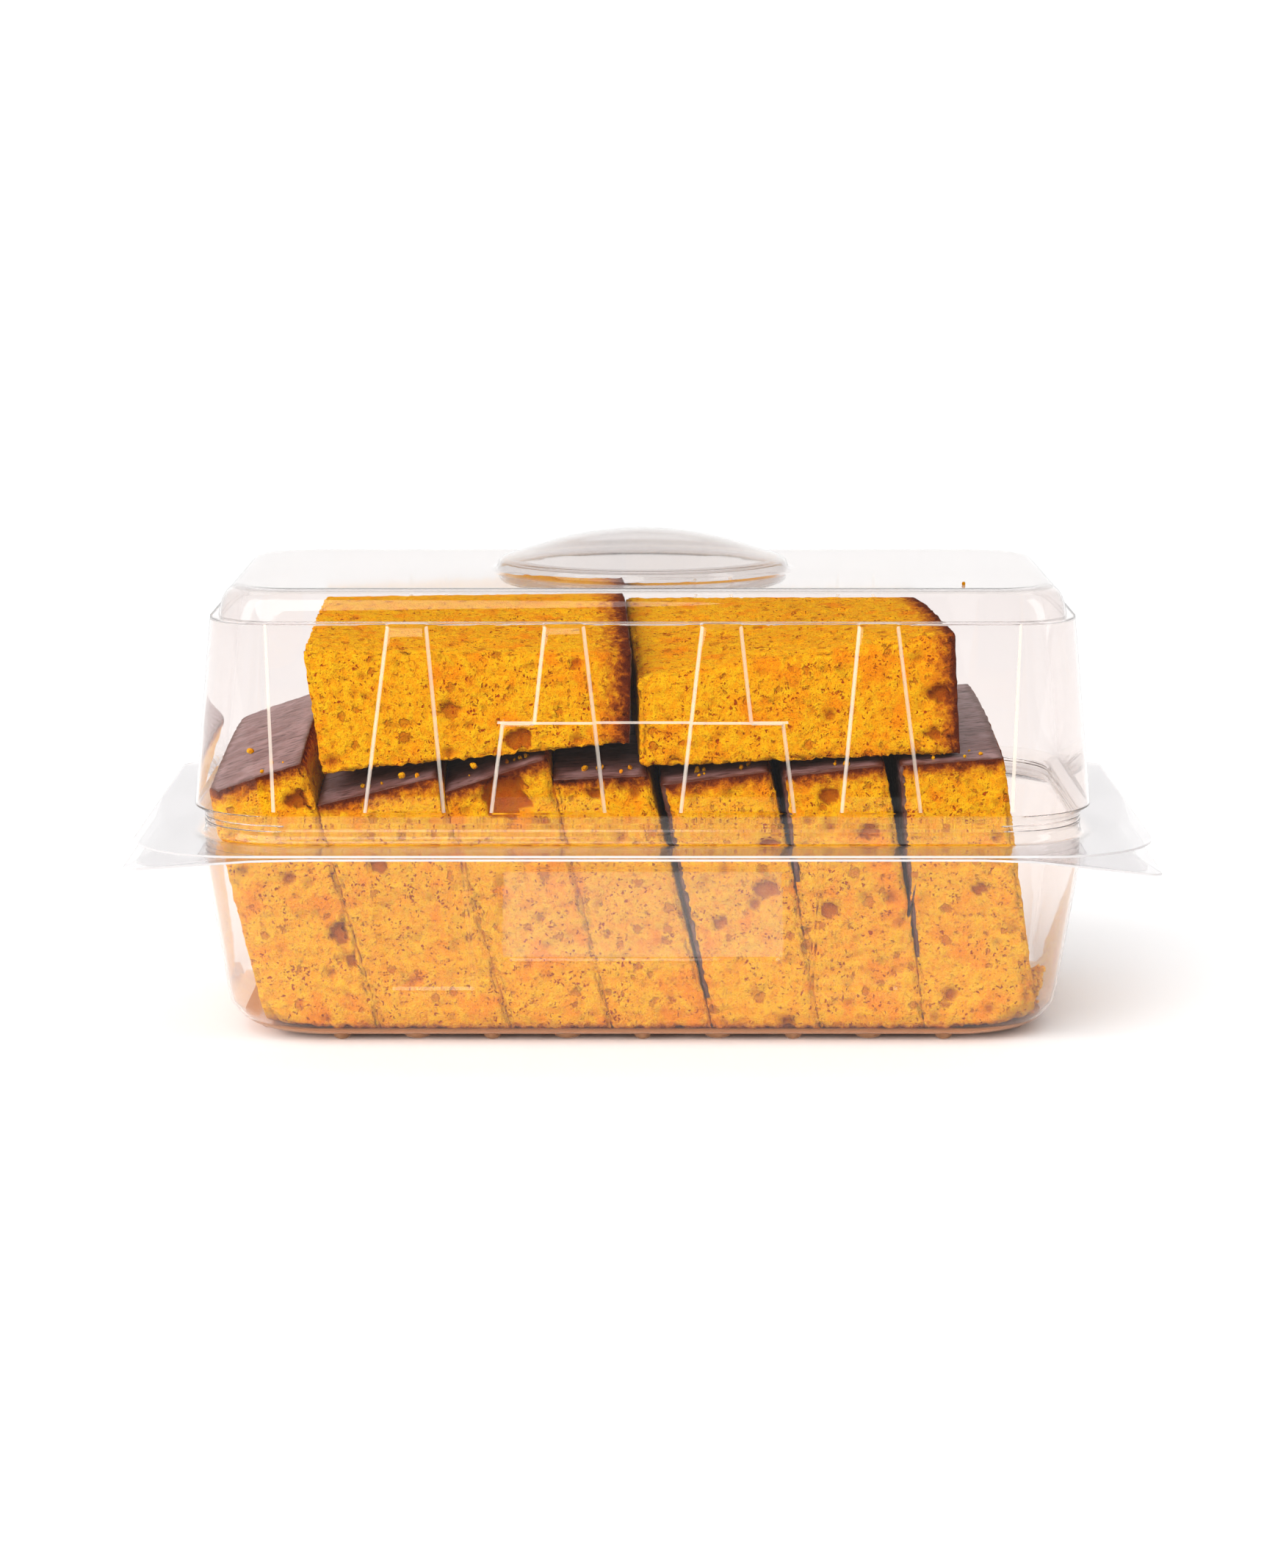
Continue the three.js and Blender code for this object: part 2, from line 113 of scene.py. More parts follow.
class NodeSketch:
    """A material's or the world's node tree, with short calls to add and join its nodes."""

    def __init__(self, owner: bpy.types.Material | bpy.types.World) -> None:
        """Starts an empty node tree.

        Args:
            owner: the new material or world.
        """
        self.owner = owner
        owner.use_nodes = True
        self.tree = owner.node_tree
        self.tree.nodes.clear()
        kind = "World" if isinstance(owner, bpy.types.World) else "Material"
        self.output = self.add(f"ShaderNodeOutput{kind}")

    def put(self, socket: Socket, value: Socket | float | Sequence[float]) -> None:
        """Gives a socket what feeds it.

        Args:
            socket: the socket of a node.
            value: another node's output to link to it, or its own number, vector or colour.
        """
        if isinstance(value, bpy.types.NodeSocket):
            self.tree.links.new(value, socket)
        else:
            socket.default_value = (*value, 1.0) if socket.type == "RGBA" else value

    def add(self, kind: str, inputs: Optional[dict[str | int, object]] = None,
            **settings: object) -> bpy.types.Node:
        """Adds a node.

        Args:
            kind: Blender's name of the node type.
            inputs: what goes into its sockets, by name or number.
            settings: properties of the node to set.

        Returns:
            The new node.
        """
        node = self.tree.nodes.new(kind)
        for key, value in settings.items():
            setattr(node, key, value)
        for key, value in (inputs or {}).items():
            self.put(node.inputs[key], value)
        return node

    def done(self, shader: bpy.types.Node) -> bpy.types.Material | bpy.types.World:
        """Makes a shader what shows, and returns the finished material or world."""
        self.put(self.output.inputs["Surface"], shader.outputs[0])
        return self.owner

    def millimetres(self) -> Socket:
        """Returns the object coordinates in millimetres."""
        place = self.add("ShaderNodeTexCoord").outputs["Object"]
        inputs = {0: place, "Scale": 1.0 / MM}
        return self.add("ShaderNodeVectorMath", inputs, operation="SCALE").outputs[0]

    def attribute(self, name: str) -> Socket:
        """Returns a number stored on the mesh."""
        return self.add("ShaderNodeAttribute", attribute_name=name).outputs["Fac"]

    def noise(self, vector: Socket, scale: float, detail: float = 2.0,
              rough: float = 0.5) -> Socket:
        """Returns a noise pattern.

        Args:
            vector: where to read the pattern.
            scale: its frequency, per millimetre.
            detail: its octaves.
            rough: the weight of its finer octaves.

        Returns:
            The pattern's value, about 0 to 1.
        """
        inputs = {"Vector": vector, "Scale": scale, "Detail": detail, "Roughness": rough}
        return self.add("ShaderNodeTexNoise", inputs).outputs["Fac"]

    def ramp(self, value: Socket, low: float, high: float, start: float = 0.0,
             end: float = 1.0) -> Socket:
        """Returns a value stretched between two limits.

        Args:
            value: what to stretch.
            low: the value that gives start.
            high: the value that gives end.
            start: the result at low and below.
            end: the result at high and above.

        Returns:
            The stretched value, clamped.
        """
        inputs = {"Value": value, "From Min": low, "From Max": high, "To Min": start,
                  "To Max": end}
        node = self.add("ShaderNodeMapRange", inputs, interpolation_type="SMOOTHSTEP")
        return node.outputs["Result"]

    def math(self, operation: str, first: Socket | float, second: Socket | float) -> Socket:
        """Returns a sum, product or other operation on two values."""
        return self.add("ShaderNodeMath", {0: first, 1: second}, operation=operation).outputs[0]

    def blend(self, share: Socket, low: Socket | Color, high: Socket | Color) -> Socket:
        """Returns a colour between two colours.

        Args:
            share: 0 for the first colour, 1 for the second.
            low: the first colour.
            high: the second colour.

        Returns:
            The mixed colour.
        """
        node = self.add("ShaderNodeMix", {"Factor": share}, data_type="RGBA")
        for name, value in (("A", low), ("B", high)):
            self.put(next(s for s in node.inputs if s.name == name and s.type == "RGBA"), value)
        return next(s for s in node.outputs if s.type == "RGBA")

    def bump(self, height: Socket, depth_mm: float) -> Socket:
        """Returns a surface normal from a height of 0 to 1 over a depth in millimetres."""
        inputs = {"Height": height, "Distance": depth_mm * MM}
        return self.add("ShaderNodeBump", inputs).outputs["Normal"]


@dataclass(frozen=True)
class ClearSheetFinish:
    """Clear formed sheet: glass-like, slightly tinted, with an optional milky share.

    The tint is of one wall. Shadow rays pass it, so what is inside stays lit.
    """

    name: str
    tint: Color
    clarity: float
    roughness: float
    ior: float = 1.33
    shade: Color = (0.965, 0.95, 0.95)

    def make(self) -> bpy.types.Material:
        """Makes the material.

        Returns:
            The material.
        """
        sketch = NodeSketch(bpy.data.materials.new(self.name))
        sheet = sketch.add(SHADER, {
            "Base Color": self.tint, "Roughness": self.roughness, "IOR": self.ior,
            "Transmission Weight": self.clarity,
        })
        passing = sketch.add("ShaderNodeBsdfTransparent", {"Color": self.shade})
        in_shadow = sketch.add("ShaderNodeLightPath").outputs["Is Shadow Ray"]
        return sketch.done(sketch.add("ShaderNodeMixShader", {
            "Fac": in_shadow, 1: sheet.outputs[0], 2: passing.outputs[0],
        }))


@dataclass(frozen=True)
class CrumbFinish:
    """Open cake crumb: yellow and orange, dense small pores darkened with painted shade, and brown
    near the crusts.
    """

    name: str = "cake_crumb"
    pale: Color = (1.0, 0.565, 0.008)
    warm: Color = (1.0, 0.445, 0.002)
    deep: Color = (1.0, 0.35, 0.001)
    # Painted shade: the colour that pores, pits and the low spots of the grain are darkened
    # towards.
    pore_shade: Color = (0.5, 0.09, 0.001)
    brown: Color = (0.14, 0.026, 0.006)
    under_crust: Color = (0.5, 0.12, 0.006)

    def pores(self, sketch: NodeSketch, place: Socket, scale: float, size: float) -> Socket:
        """Returns a pattern of pores of uneven size.

        Args:
            sketch: the material.
            place: where to read the pattern.
            scale: pores per millimetre.
            size: the radius of the widest ones, as a share of their spacing.

        Returns:
            1 in a pore and 0 between them.
        """
        cells = sketch.add("ShaderNodeTexVoronoi", {"Scale": scale, "Vector": place}).outputs
        chance = sketch.add("ShaderNodeSeparateColor", {0: cells["Color"]}).outputs[0]
        wide = sketch.math("MULTIPLY", sketch.math("MULTIPLY", chance, chance), size)
        inside = sketch.math("SUBTRACT", cells["Distance"], wide)
        return sketch.ramp(inside, -0.06, 0.05, 1.0, 0.0)

    def make(self) -> bpy.types.Material:
        """Makes the material.

        Returns:
            The material.
        """
        sketch = NodeSketch(bpy.data.materials.new(self.name))
        place = sketch.millimetres()
        broad = sketch.noise(place, 0.13, 3.0, 0.6)
        middle = sketch.noise(place, 0.55, 4.0, 0.65)
        fine = sketch.noise(place, 2.2, 3.0, 0.7)
        wave = sketch.add("ShaderNodeTexNoise", {"Scale": 0.9, "Vector": place})
        shift = {0: wave.outputs["Color"], 1: (2.2, 2.2, 2.2), 2: place}
        bent = sketch.add("ShaderNodeVectorMath", shift, operation="MULTIPLY_ADD").outputs[0]
        color = sketch.blend(sketch.ramp(middle, 0.4, 0.6), self.warm, self.pale)
        color = sketch.blend(sketch.ramp(broad, 0.5, 0.7), color, self.deep)
        color = sketch.blend(sketch.ramp(fine, 0.56, 0.7), color, self.pale)
        # Painted shade: the low spots of the fine noise, which the bump also sinks, darken.
        dim = sketch.math("MULTIPLY", sketch.ramp(fine, 0.3, 0.46, 1.0, 0.0), 0.4)
        color = sketch.blend(dim, color, self.pore_shade)
        small = self.pores(sketch, bent, 1.15, 0.46)
        some = sketch.ramp(sketch.noise(place, 0.2, 2.0), 0.36, 0.6)
        small = sketch.math("MULTIPLY", small, sketch.math("ADD", some, 0.35))
        wide = self.pores(sketch, bent, 0.28, 0.36)
        pit_shade = sketch.ramp(sketch.attribute("pit_shade"), 0.3, 0.9)
        wide = sketch.math("MULTIPLY", wide, 0.7)
        # Painted shade: small pores, wide pores and the mesh's pits and holes all darken the
        # crumb.
        pores = sketch.math("MAXIMUM", small, sketch.math("MAXIMUM", wide, pit_shade))
        color = sketch.blend(sketch.math("MULTIPLY", pores, 0.75), color, self.pore_shade)
        # Painted shade in the finest pores.
        grain_shade = self.pores(sketch, bent, 2.1, 0.42)
        grain_shade = sketch.math("MULTIPLY", grain_shade, 0.55)
        color = sketch.blend(grain_shade, color, self.pore_shade)
        ragged = sketch.math("MULTIPLY", sketch.math("SUBTRACT", middle, 0.5), 6.0)
        reach = sketch.math("ADD", sketch.attribute("crust_mm"), ragged)
        color = sketch.blend(sketch.ramp(reach, 0.8, 4.6, 1.0, 0.0), color, self.under_crust)
        color = sketch.blend(sketch.ramp(reach, 0.2, 2.4, 1.0, 0.0), color, self.brown)
        height = sketch.math("ADD", sketch.math("MULTIPLY", fine, 0.6), middle)
        height = sketch.math("SUBTRACT", height, pores)
        return sketch.done(sketch.add(SHADER, {
            "Base Color": color, "Roughness": 0.85, "Specular IOR Level": 0.06,
            "Normal": sketch.bump(height, 0.9),
        }))


@dataclass(frozen=True)
class CrustFinish:
    """Baked crust: red-brown with paler patches and fine wrinkles, pale where it shines."""

    name: str
    dark: Color
    mid: Color
    pale: Color
    roughness: float = 0.42
    rim: Color = (0.1, 0.026, 0.012)

    def make(self) -> bpy.types.Material:
        """Makes the material.

        Returns:
            The material.
        """
        sketch = NodeSketch(bpy.data.materials.new(self.name))
        place = sketch.millimetres()
        squeezed = sketch.add("ShaderNodeMapping", {"Scale": (0.3, 1.7, 1.0), "Vector": place})
        lines = sketch.noise(squeezed.outputs[0], 0.6, 5.0, 0.65)
        patches = sketch.noise(place, 0.14, 3.0, 0.6)
        color = sketch.blend(sketch.ramp(patches, 0.35, 0.62), self.mid, self.pale)
        color = sketch.blend(sketch.ramp(lines, 0.36, 0.5, 1.0, 0.0), color, self.dark)
        spread = sketch.math("MULTIPLY", sketch.math("SUBTRACT", patches, 0.5), 4.0)
        reach = sketch.math("ADD", sketch.attribute("edge_mm"), spread)
        color = sketch.blend(sketch.ramp(reach, 0.3, 2.4, 1.0, 0.0), color, self.rim)
        return sketch.done(sketch.add(SHADER, {
            "Base Color": color, "Roughness": self.roughness, "Specular IOR Level": 0.75,
            "Normal": sketch.bump(lines, 0.35),
        }))


@dataclass(frozen=True)
class PaperFinish:
    """Plain pale backdrop paper, for the floor."""

    name: str = "backdrop"
    color: Color = (0.97, 0.97, 0.97)

    def make(self) -> bpy.types.Material:
        """Returns the material."""
        sketch = NodeSketch(bpy.data.materials.new(self.name))
        inputs = {"Base Color": self.color, "Roughness": 0.9, "Specular IOR Level": 0.1}
        return sketch.done(sketch.add(SHADER, inputs))


# ---- Formed sheet -----------------------------------------------------------------------


class Step(Enum):
    """Which way a step in a long wall runs from its drawn line, going out from the middle."""

    OUTWARD = 1
    INWARD = -1


@dataclass(frozen=True)
class Line:
    """One edge of a flute or panel on a long wall, mirrored about the wall's middle.

    x_foot and x_head are its places at the wall's foot and head. after is the wall's offset
    past the line as (share of flutes, share of panel).
    """

    x_foot: float
    x_head: float
    run: Step
    after: Pair


@dataclass(frozen=True)
class Ring:
    """One closed outline of a formed sheet: a rounded rectangle, or a circle if radius is set."""

    z: float
    half: Pair = (0.0, 0.0)
    corner: float = 0.0
    front_corner: Optional[float] = None
    share: float = 0.0
    flute: float = 0.0
    panel: float = 0.0
    radius: Optional[float] = None
    hangs: bool = False


@dataclass
class FormedSheet:
    """A sheet formed into rings, with flutes and panels on its long walls."""

    name: str
    node: str
    body: str
    sheet: float = 0.5
    edge: float = 1.2
    edge_samples: int = 5
    hold: float = 0.5
    fill: int = 3
    arc_steps: int = 16
    # Turns round the lid's front corners, in degrees, between which the painted highlight streak
    # runs; the arcs get points there.
    streak_deg: Pair = (5.7, 7.8)
    side_steps: int = 14
    flute_depth: float = 1.0
    panel_depth: float = 1.0
    droop_from: float = 85.0
    droop: Pair = (0.0, 0.0)

    def lines(self, front: bool) -> list[Line]:
        """Returns the edges of the flutes and panels of the front or back wall."""
        raise NotImplementedError

    def middle(self, front: bool) -> Pair:
        """Returns the wall's shares of flutes and panel at its middle."""
        raise NotImplementedError

    def rings(self) -> list[Ring]:
        """Returns the sheet's outside, from the rim to the middle."""
        raise NotImplementedError

    def offset(self, ring: Ring, shares: Pair) -> float:
        """Returns how far out of its plane a wall lies, for its shares of flutes and panel."""
        flute = self.flute_depth * ring.flute * shares[0]
        return max(flute, self.panel_depth * ring.panel * shares[1], key=abs)

    def long_wall(self, ring: Ring, front: bool, corner: float) -> list[Vector]:
        """Returns one long wall of a ring.

        Args:
            ring: the ring.
            front: the wall at -Y, else the one at +Y.
            corner: the radius of the wall's corners.

        Returns:
            The wall's points from left to right.
        """
        before = self.offset(ring, self.middle(front))
        right: list[Pair] = [(0.0, before)]
        stops: list[list[Pair]] = []
        for line in self.lines(front):
            x = mix(line.x_foot, line.x_head, ring.share)
            start = x if line.run is Step.OUTWARD else x - self.edge
            after = self.offset(ring, line.after)
            run = [(start - self.hold, before)]
            for sample in range(self.edge_samples):
                part = sample / (self.edge_samples - 1)
                run.append((start + self.edge * part, mix(before, after, smooth(part))))
            run.append((start + self.edge + self.hold, after))
            stops.append(run)
            before = after
        end = ring.half[0] - corner
        stops.append([(end - self.hold, 0.0), (end, 0.0)])
        for run in stops:
            last = right[-1]
            for step in range(1, self.fill + 1):
                right.append(mix_pair(last, run[0], step / (self.fill + 1)))
            right.extend(run)
        sign = -1.0 if front else 1.0
        points = [Vector((x, sign * (ring.half[1] + out))) for x, out in right]
        mirrored = [Vector((-point.x, point.y)) for point in reversed(points[1:])]
        return mirrored + points

    def side(self, ring: Ring, x_sign: float) -> list[Vector]:
        """Returns one side of a ring with its two corners, from front to back.

        Args:
            ring: the ring.
            x_sign: 1 for the right side, -1 for the left.

        Returns:
            The side's points.
        """
        front_radius = ring.corner if ring.front_corner is None else ring.front_corner
        points: list[Vector] = []
        for radius, y_sign in ((front_radius, -1.0), (ring.corner, 1.0)):
            arc = []
            turns = [90.0 * step / self.arc_steps for step in range(1, self.arc_steps + 1)]
            for turn in sorted([*turns, *self.streak_deg]):
                angle = math.radians(turn)
                arc.append(Vector((
                    x_sign * (ring.half[0] - radius + radius * math.sin(angle)),
                    y_sign * (ring.half[1] - radius + radius * math.cos(angle)),
                )))
            if y_sign < 0:
                points.extend(arc)
            else:
                start = points[-1]
                for step in range(1, self.side_steps):
                    share = 0.5 - 0.5 * math.cos(math.pi * step / self.side_steps)
                    points.append(start.lerp(arc[-1], share))
                points.extend(reversed(arc))
        return points

    def outline(self, ring: Ring) -> list[Vector]:
        """Returns a ring's points, counter-clockwise seen from above, from its front left.

        Args:
            ring: the ring.

        Returns:
            The points.
        """
        front_radius = ring.corner if ring.front_corner is None else ring.front_corner
        front = self.long_wall(ring, True, front_radius)
        back = self.long_wall(ring, False, ring.corner)
        right = self.side(ring, 1.0)
        left = self.side(ring, -1.0)
        return front + right + list(reversed(back)) + list(reversed(left))

    def height(self, ring: Ring, point: Vector) -> float:
        """Returns a ring's height at a point, lower where the flange hangs.

        Args:
            ring: the ring.
            point: the point, in plan.

        Returns:
            The height.
        """
        if not ring.hangs or point.y > 0:
            return ring.z
        slope = self.droop[0] if point.x < 0 else self.droop[1]
        return ring.z - slope * max(abs(point.x) - self.droop_from, 0.0)

    def shape(self) -> bmesh.types.BMesh:
        """Returns the sheet's outside as an open surface in millimetres.

        Returns:
            The surface.
        """
        rings = self.rings()
        guide = next(ring for ring in reversed(rings) if ring.radius is None)
        turns = [
            math.atan2(point.y / guide.half[1], point.x / guide.half[0])
            for point in self.outline(guide)
        ]
        loops = [
            self.outline(ring) if ring.radius is None
            else [Vector((ring.radius * math.cos(t), ring.radius * math.sin(t))) for t in turns]
            for ring in rings
        ]
        count = len(turns)
        bm = bmesh.new()
        bmesh.ops.create_grid(bm, x_segments=count, y_segments=len(rings) - 1, size=1.0)
        for vert in bm.verts:
            column = round((vert.co.x + 1.0) / 2.0 * count) % count
            row = round((vert.co.y + 1.0) / 2.0 * (len(rings) - 1))
            point = loops[row][column]
            vert.co = (point.x, point.y, self.height(rings[row], point))
        bmesh.ops.remove_doubles(bm, verts=bm.verts, dist=1e-4)
        rim = [edge for edge in bm.edges if edge.is_boundary]
        inner = [edge for edge in rim if abs(edge.verts[0].co.z - rings[-1].z) < 1e-4]
        bmesh.ops.edgeloop_fill(bm, edges=inner)
        bmesh.ops.recalc_face_normals(bm, faces=bm.faces)
        return bm

    def dress(self, bm: bmesh.types.BMesh) -> None:
        """Gives each face its material slot."""
        raise NotImplementedError

    def build(self, materials: Sequence[bpy.types.Material]) -> bpy.types.Object:
        """Builds the sheet with its wall, in place of its CAD node.

        Args:
            materials: the slots that dress() hands out.

        Returns:
            The finished object.
        """
        bm = self.shape()
        outward = sum((face.normal.z * face.calc_area() for face in bm.faces), 0.0)
        if (outward > 0) != (self.body == "lid"):
            bmesh.ops.reverse_faces(bm, faces=bm.faces)
        self.dress(bm)
        piece = finish_mesh(bm, self.name, materials, sharp_deg=50.0)
        wall = piece.modifiers.new("wall", "SOLIDIFY")
        wall.thickness = self.sheet * MM
        wall.offset = -1.0
        wall.use_even_offset = True
        # The rims take the next slot, the milky painted highlight of the sheet's cut edge.
        wall.material_offset_rim = 1
        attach(piece, self.body)
        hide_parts(self.node)
        return piece


@dataclass
class Tray(FormedSheet):
    """The shallow ribbed tray with its flange, flutes and a sunk front panel."""

    name: str = "tray_sheet"
    node: str = "base_tray"
    body: str = "tray"
    flute_depth: float = -0.8
    panel_depth: float = -0.7
    droop: Pair = (0.07, 0.11)
    flange_half: Pair = (117.44, 67.5)
    flange_under: float = 47.1
    section: tuple[tuple[float, float, float, float], ...] = (
        (1.6, 90.0, 41.3, 17.5),
        (1.85, 91.7, 43.0, 18.9),
        (2.6, 93.2, 44.5, 20.0),
        (3.6, 94.6, 45.8, 21.0),
        (5.0, 95.8, 46.8, 21.6),
        (6.4, 96.8, 47.6, 22.1),
        (7.6, 97.5, 48.2, 22.5),
        (47.6, 103.8, 53.8, 25.5),
    )
    floor_top: float = 3.4
    flute_span: Pair = (14.5, 45.1)
    panel_span: Pair = (21.5, 41.9)

    def at(self, z: float) -> Point:
        """Returns the outside half length, half width and corner radius at one height.

        Args:
            z: the height.

        Returns:
            The three sizes.
        """
        rows = self.section
        above = next((i for i, row in enumerate(rows) if row[0] >= z), len(rows) - 1)
        low, high = rows[max(above, 1) - 1], rows[max(above, 1)]
        part = (z - low[0]) / (high[0] - low[0])
        return tuple(mix(low[i], high[i], part) for i in (1, 2, 3))

    def lines(self, front: bool) -> list[Line]:
        """Returns the edges of the sunk front panel and of the flute on either side.

        Args:
            front: the wall at -Y, else the one at +Y; not used, as both walls get the same edges.

        Returns:
            The edges, from the middle out.
        """
        return [
            Line(31.4, 34.0, Step.INWARD, (0.0, 0.0)),
            Line(37.8, 41.0, Step.OUTWARD, (1.0, 0.0)),
            Line(58.6, 63.8, Step.INWARD, (0.0, 0.0)),
        ]

    def middle(self, front: bool) -> Pair:
        """Returns the shares of flutes and panel at the wall's middle."""
        return (0.0, 1.0 if front else 0.0)

    def wall_ring(self, z: float) -> Ring:
        """Returns the wall's ring at one height.

        Args:
            z: the height.

        Returns:
            The ring.
        """
        half_x, half_y, corner = self.at(z)
        low = self.section[-2][0]
        share = min(max((z - low) / (self.section[-1][0] - low), 0.0), 1.0)
        flute = smooth((z - self.flute_span[0]) / self.edge + 1.0)
        flute *= smooth((self.flute_span[1] - z) / self.edge + 1.0)
        panel = smooth((z - self.panel_span[0]) / self.edge + 1.0)
        panel *= smooth((self.panel_span[1] - z) / self.edge + 1.0)
        return Ring(z, (half_x, half_y), corner, share=share, flute=flute, panel=panel)

    def rings(self) -> list[Ring]:
        """Returns the outside from the flange's rim to the middle of the floor.

        Returns:
            The rings.
        """
        steps = [0.0, 0.3, 0.6, 1.0]
        heights = {self.flange_under, 30.0, 34.0, 38.0, 26.0, 18.0, 11.0}
        for foot, head in (self.flute_span, self.panel_span):
            heights.update(foot - self.edge * part for part in steps)
            heights.update(head + self.edge * part for part in steps)
        heights.update(row[0] for row in self.section[:-1])
        length, width = self.flange_half
        flange = [
            Ring(self.flange_under, (length - inset, width - inset), 4.0 - inset, share=1.0,
                 hangs=True)
            for inset in (0.0, 0.5)
        ]
        half_x, half_y, corner = self.at(self.flange_under)
        flange.extend(
            Ring(self.flange_under, (half_x + out, half_y + out), corner + out, share=1.0)
            for out in (2.2, 1.2)
        )
        walls = [self.wall_ring(z) for z in sorted(heights, reverse=True) if z < self.flange_under]
        low = self.section[0]
        floor = [
            Ring(low[0], (low[1] - inset, low[2] - inset), low[3] - inset * 0.5)
            for inset in (1.2, 12.0, 30.0)
        ]
        return [*flange, *walls, *floor]

    def dress(self, bm: bmesh.types.BMesh) -> None:
        """Gives the sunk front panel slot 1, the flange 2, greyer as painted shade, the floor 4,
        brown as a painted view of the cake's crust through it, and the rest 0.

        Args:
            bm: the sheet's outside.
        """
        for face in bm.faces:
            middle = face.calc_center_median()
            inside = self.panel_span[0] < middle.z < self.panel_span[1]
            panel = inside and middle.y < -40.0 and abs(middle.x) < 32.0
            face.material_index = 1 if panel else 0
            half_x, half_y, _ = self.at(self.flange_under)
            if abs(middle.x) > half_x + 1.0 or abs(middle.y) > half_y + 1.0:
                face.material_index = 2
            elif middle.z < self.floor_top:
                # The floor takes slot 4, a brown tint that paints the cake's crust seen through
                # it.
                face.material_index = 4


@dataclass
class Lid(FormedSheet):
    """The deep lid: skirt, fluted walls with a raised front panel, ledge, cap and dome."""

    name: str = "lid_sheet"
    node: str = "lid_shell"
    body: str = "lid"
    flange_half: Pair = (117.5, 67.5)
    flange_top: float = 48.4
    skirt_half: Pair = (102.0, 53.3)
    skirt_top: float = 53.7
    groove_rows: tuple[Pair, ...] = ((50.4, 0.25), (52.0, 0.35))
    foot: float = 54.9
    foot_half: Pair = (104.3, 54.6)
    foot_corner: float = 22.8
    head: float = 99.1
    head_half: Pair = (99.9, 50.3)
    head_corner: float = 15.8
    panel_top: float = 76.5
    panel_step: float = 0.6
    cap: tuple[tuple[float, float, float, float], ...] = (
        (99.1, 98.1, 47.9, 15.4),
        (100.4, 97.9, 47.7, 15.3),
        (102.0, 97.5, 47.3, 15.1),
        (103.4, 97.0, 46.8, 14.8),
        (104.6, 96.2, 46.1, 14.4),
        (105.5, 95.1, 45.1, 13.8),
        (106.0, 93.8, 44.0, 13.0),
        (106.1, 92.4, 42.8, 12.3),
    )
    lens: tuple[Pair, ...] = (
        (35.4, 0.0), (34.9, 0.3), (34.6, 1.1), (34.3, 2.0), (33.7, 2.6), (32.2, 3.2),
        (29.0, 4.1), (26.0, 5.1), (22.5, 6.2), (18.5, 7.3), (14.0, 8.2), (9.5, 8.9),
        (5.0, 9.35), (2.0, 9.49),
    )

    def lines(self, front: bool) -> list[Line]:
        """Returns the edges of the flutes and of the panel between the inner ones.

        Args:
            front: the wall at -Y, else the one at +Y.

        Returns:
            The edges, from the middle out.
        """
        panel = 1.0 if front else 0.0
        return [
            Line(7.8, 12.9, Step.OUTWARD, (1.0, panel)),
            Line(27.8, 22.9, Step.INWARD, (0.0, panel)),
            Line(35.4, 29.7, Step.INWARD, (0.0, 0.0)),
            Line(44.5, 48.6, Step.OUTWARD, (1.0, 0.0)),
            Line(64.2, 58.6, Step.INWARD, (0.0, 0.0)),
        ]

    def middle(self, front: bool) -> Pair:
        """Returns the shares of flutes and panel at the wall's middle."""
        return (0.0, 0.0)

    def grooves(self, corner: float) -> Iterable[Ring]:
        """Yields the rings of the skirt's fine grooves.

        Args:
            corner: the skirt's corner radius.

        Yields:
            Each ring, from the bottom up.
        """
        length, width = self.skirt_half
        for middle, depth in self.groove_rows:
            for lift, share in ((-0.5, 0.0), (-0.2, 1.0), (0.2, 1.0), (0.5, 0.0)):
                inset = depth * share
                yield Ring(middle + lift, (length - inset, width - inset), corner)

    def wall_ring(self, z: float) -> Ring:
        """Returns the wall's ring at one height.

        Args:
            z: the height.

        Returns:
            The ring.
        """
        share = (z - self.foot) / (self.head - self.foot)
        half = mix_pair(self.foot_half, self.head_half, share)
        corner = mix(self.foot_corner, self.head_corner, share)
        flute = smooth((z - self.foot) / self.edge) * smooth((self.head - z) / self.edge)
        panel = smooth((z - self.foot) / self.edge)
        panel *= smooth((self.panel_top - z) / self.panel_step + 0.5)
        return Ring(z, half, corner, share=share, flute=flute, panel=panel)

    def rings(self) -> list[Ring]:
        """Returns the outside from the flange's rim to the top of the dome.

        Returns:
            The rings.
        """
        heights = [60.0, 66.0, 71.0, 82.0, 88.0, 93.0]
        for part in (0.0, 0.3, 0.6, 1.0):
            heights.append(self.foot + self.edge * part)
            heights.append(self.head - self.edge * part)
            heights.append(self.panel_top + self.panel_step * (part - 0.5))
        heights.extend((self.panel_top - 1.2, self.panel_top + 1.2))
        corner = self.foot_corner - 2.0
        length, width = self.flange_half
        wider = (self.skirt_half[0] + 0.9, self.skirt_half[1] + 0.9)
        skirt = [
            Ring(self.flange_top, self.flange_half, 4.0, 26.0),
            Ring(self.flange_top, (length - 0.5, width - 0.5), 3.5, 25.5),
            Ring(self.flange_top, (wider[0] + 1.0, wider[1] + 1.0), corner + 1.9),
            Ring(self.flange_top, wider, corner + 0.9),
            Ring(self.flange_top + 0.3, mix_pair(wider, self.skirt_half, 0.7), corner + 0.3),
            Ring(self.flange_top + 0.9, self.skirt_half, corner),
            *self.grooves(corner),
            Ring(self.skirt_top - 0.4, self.skirt_half, corner),
            Ring(self.skirt_top, mix_pair(self.skirt_half, self.foot_half, 0.1), corner),
        ]
        walls = [self.wall_ring(z) for z in sorted(heights)]
        cap = [Ring(z, (half_x, half_y), radius) for z, half_x, half_y, radius in self.cap]
        top, length, width, corner = self.cap[-1]
        cap.append(Ring(top, (length - 1.2, width - 1.2), corner - 1.2))
        cap.append(Ring(top, radius=self.lens[0][0] + 1.5))
        dome = [Ring(top + rise, radius=radius) for radius, rise in self.lens]
        return [*skirt, *walls, *cap, *dome]

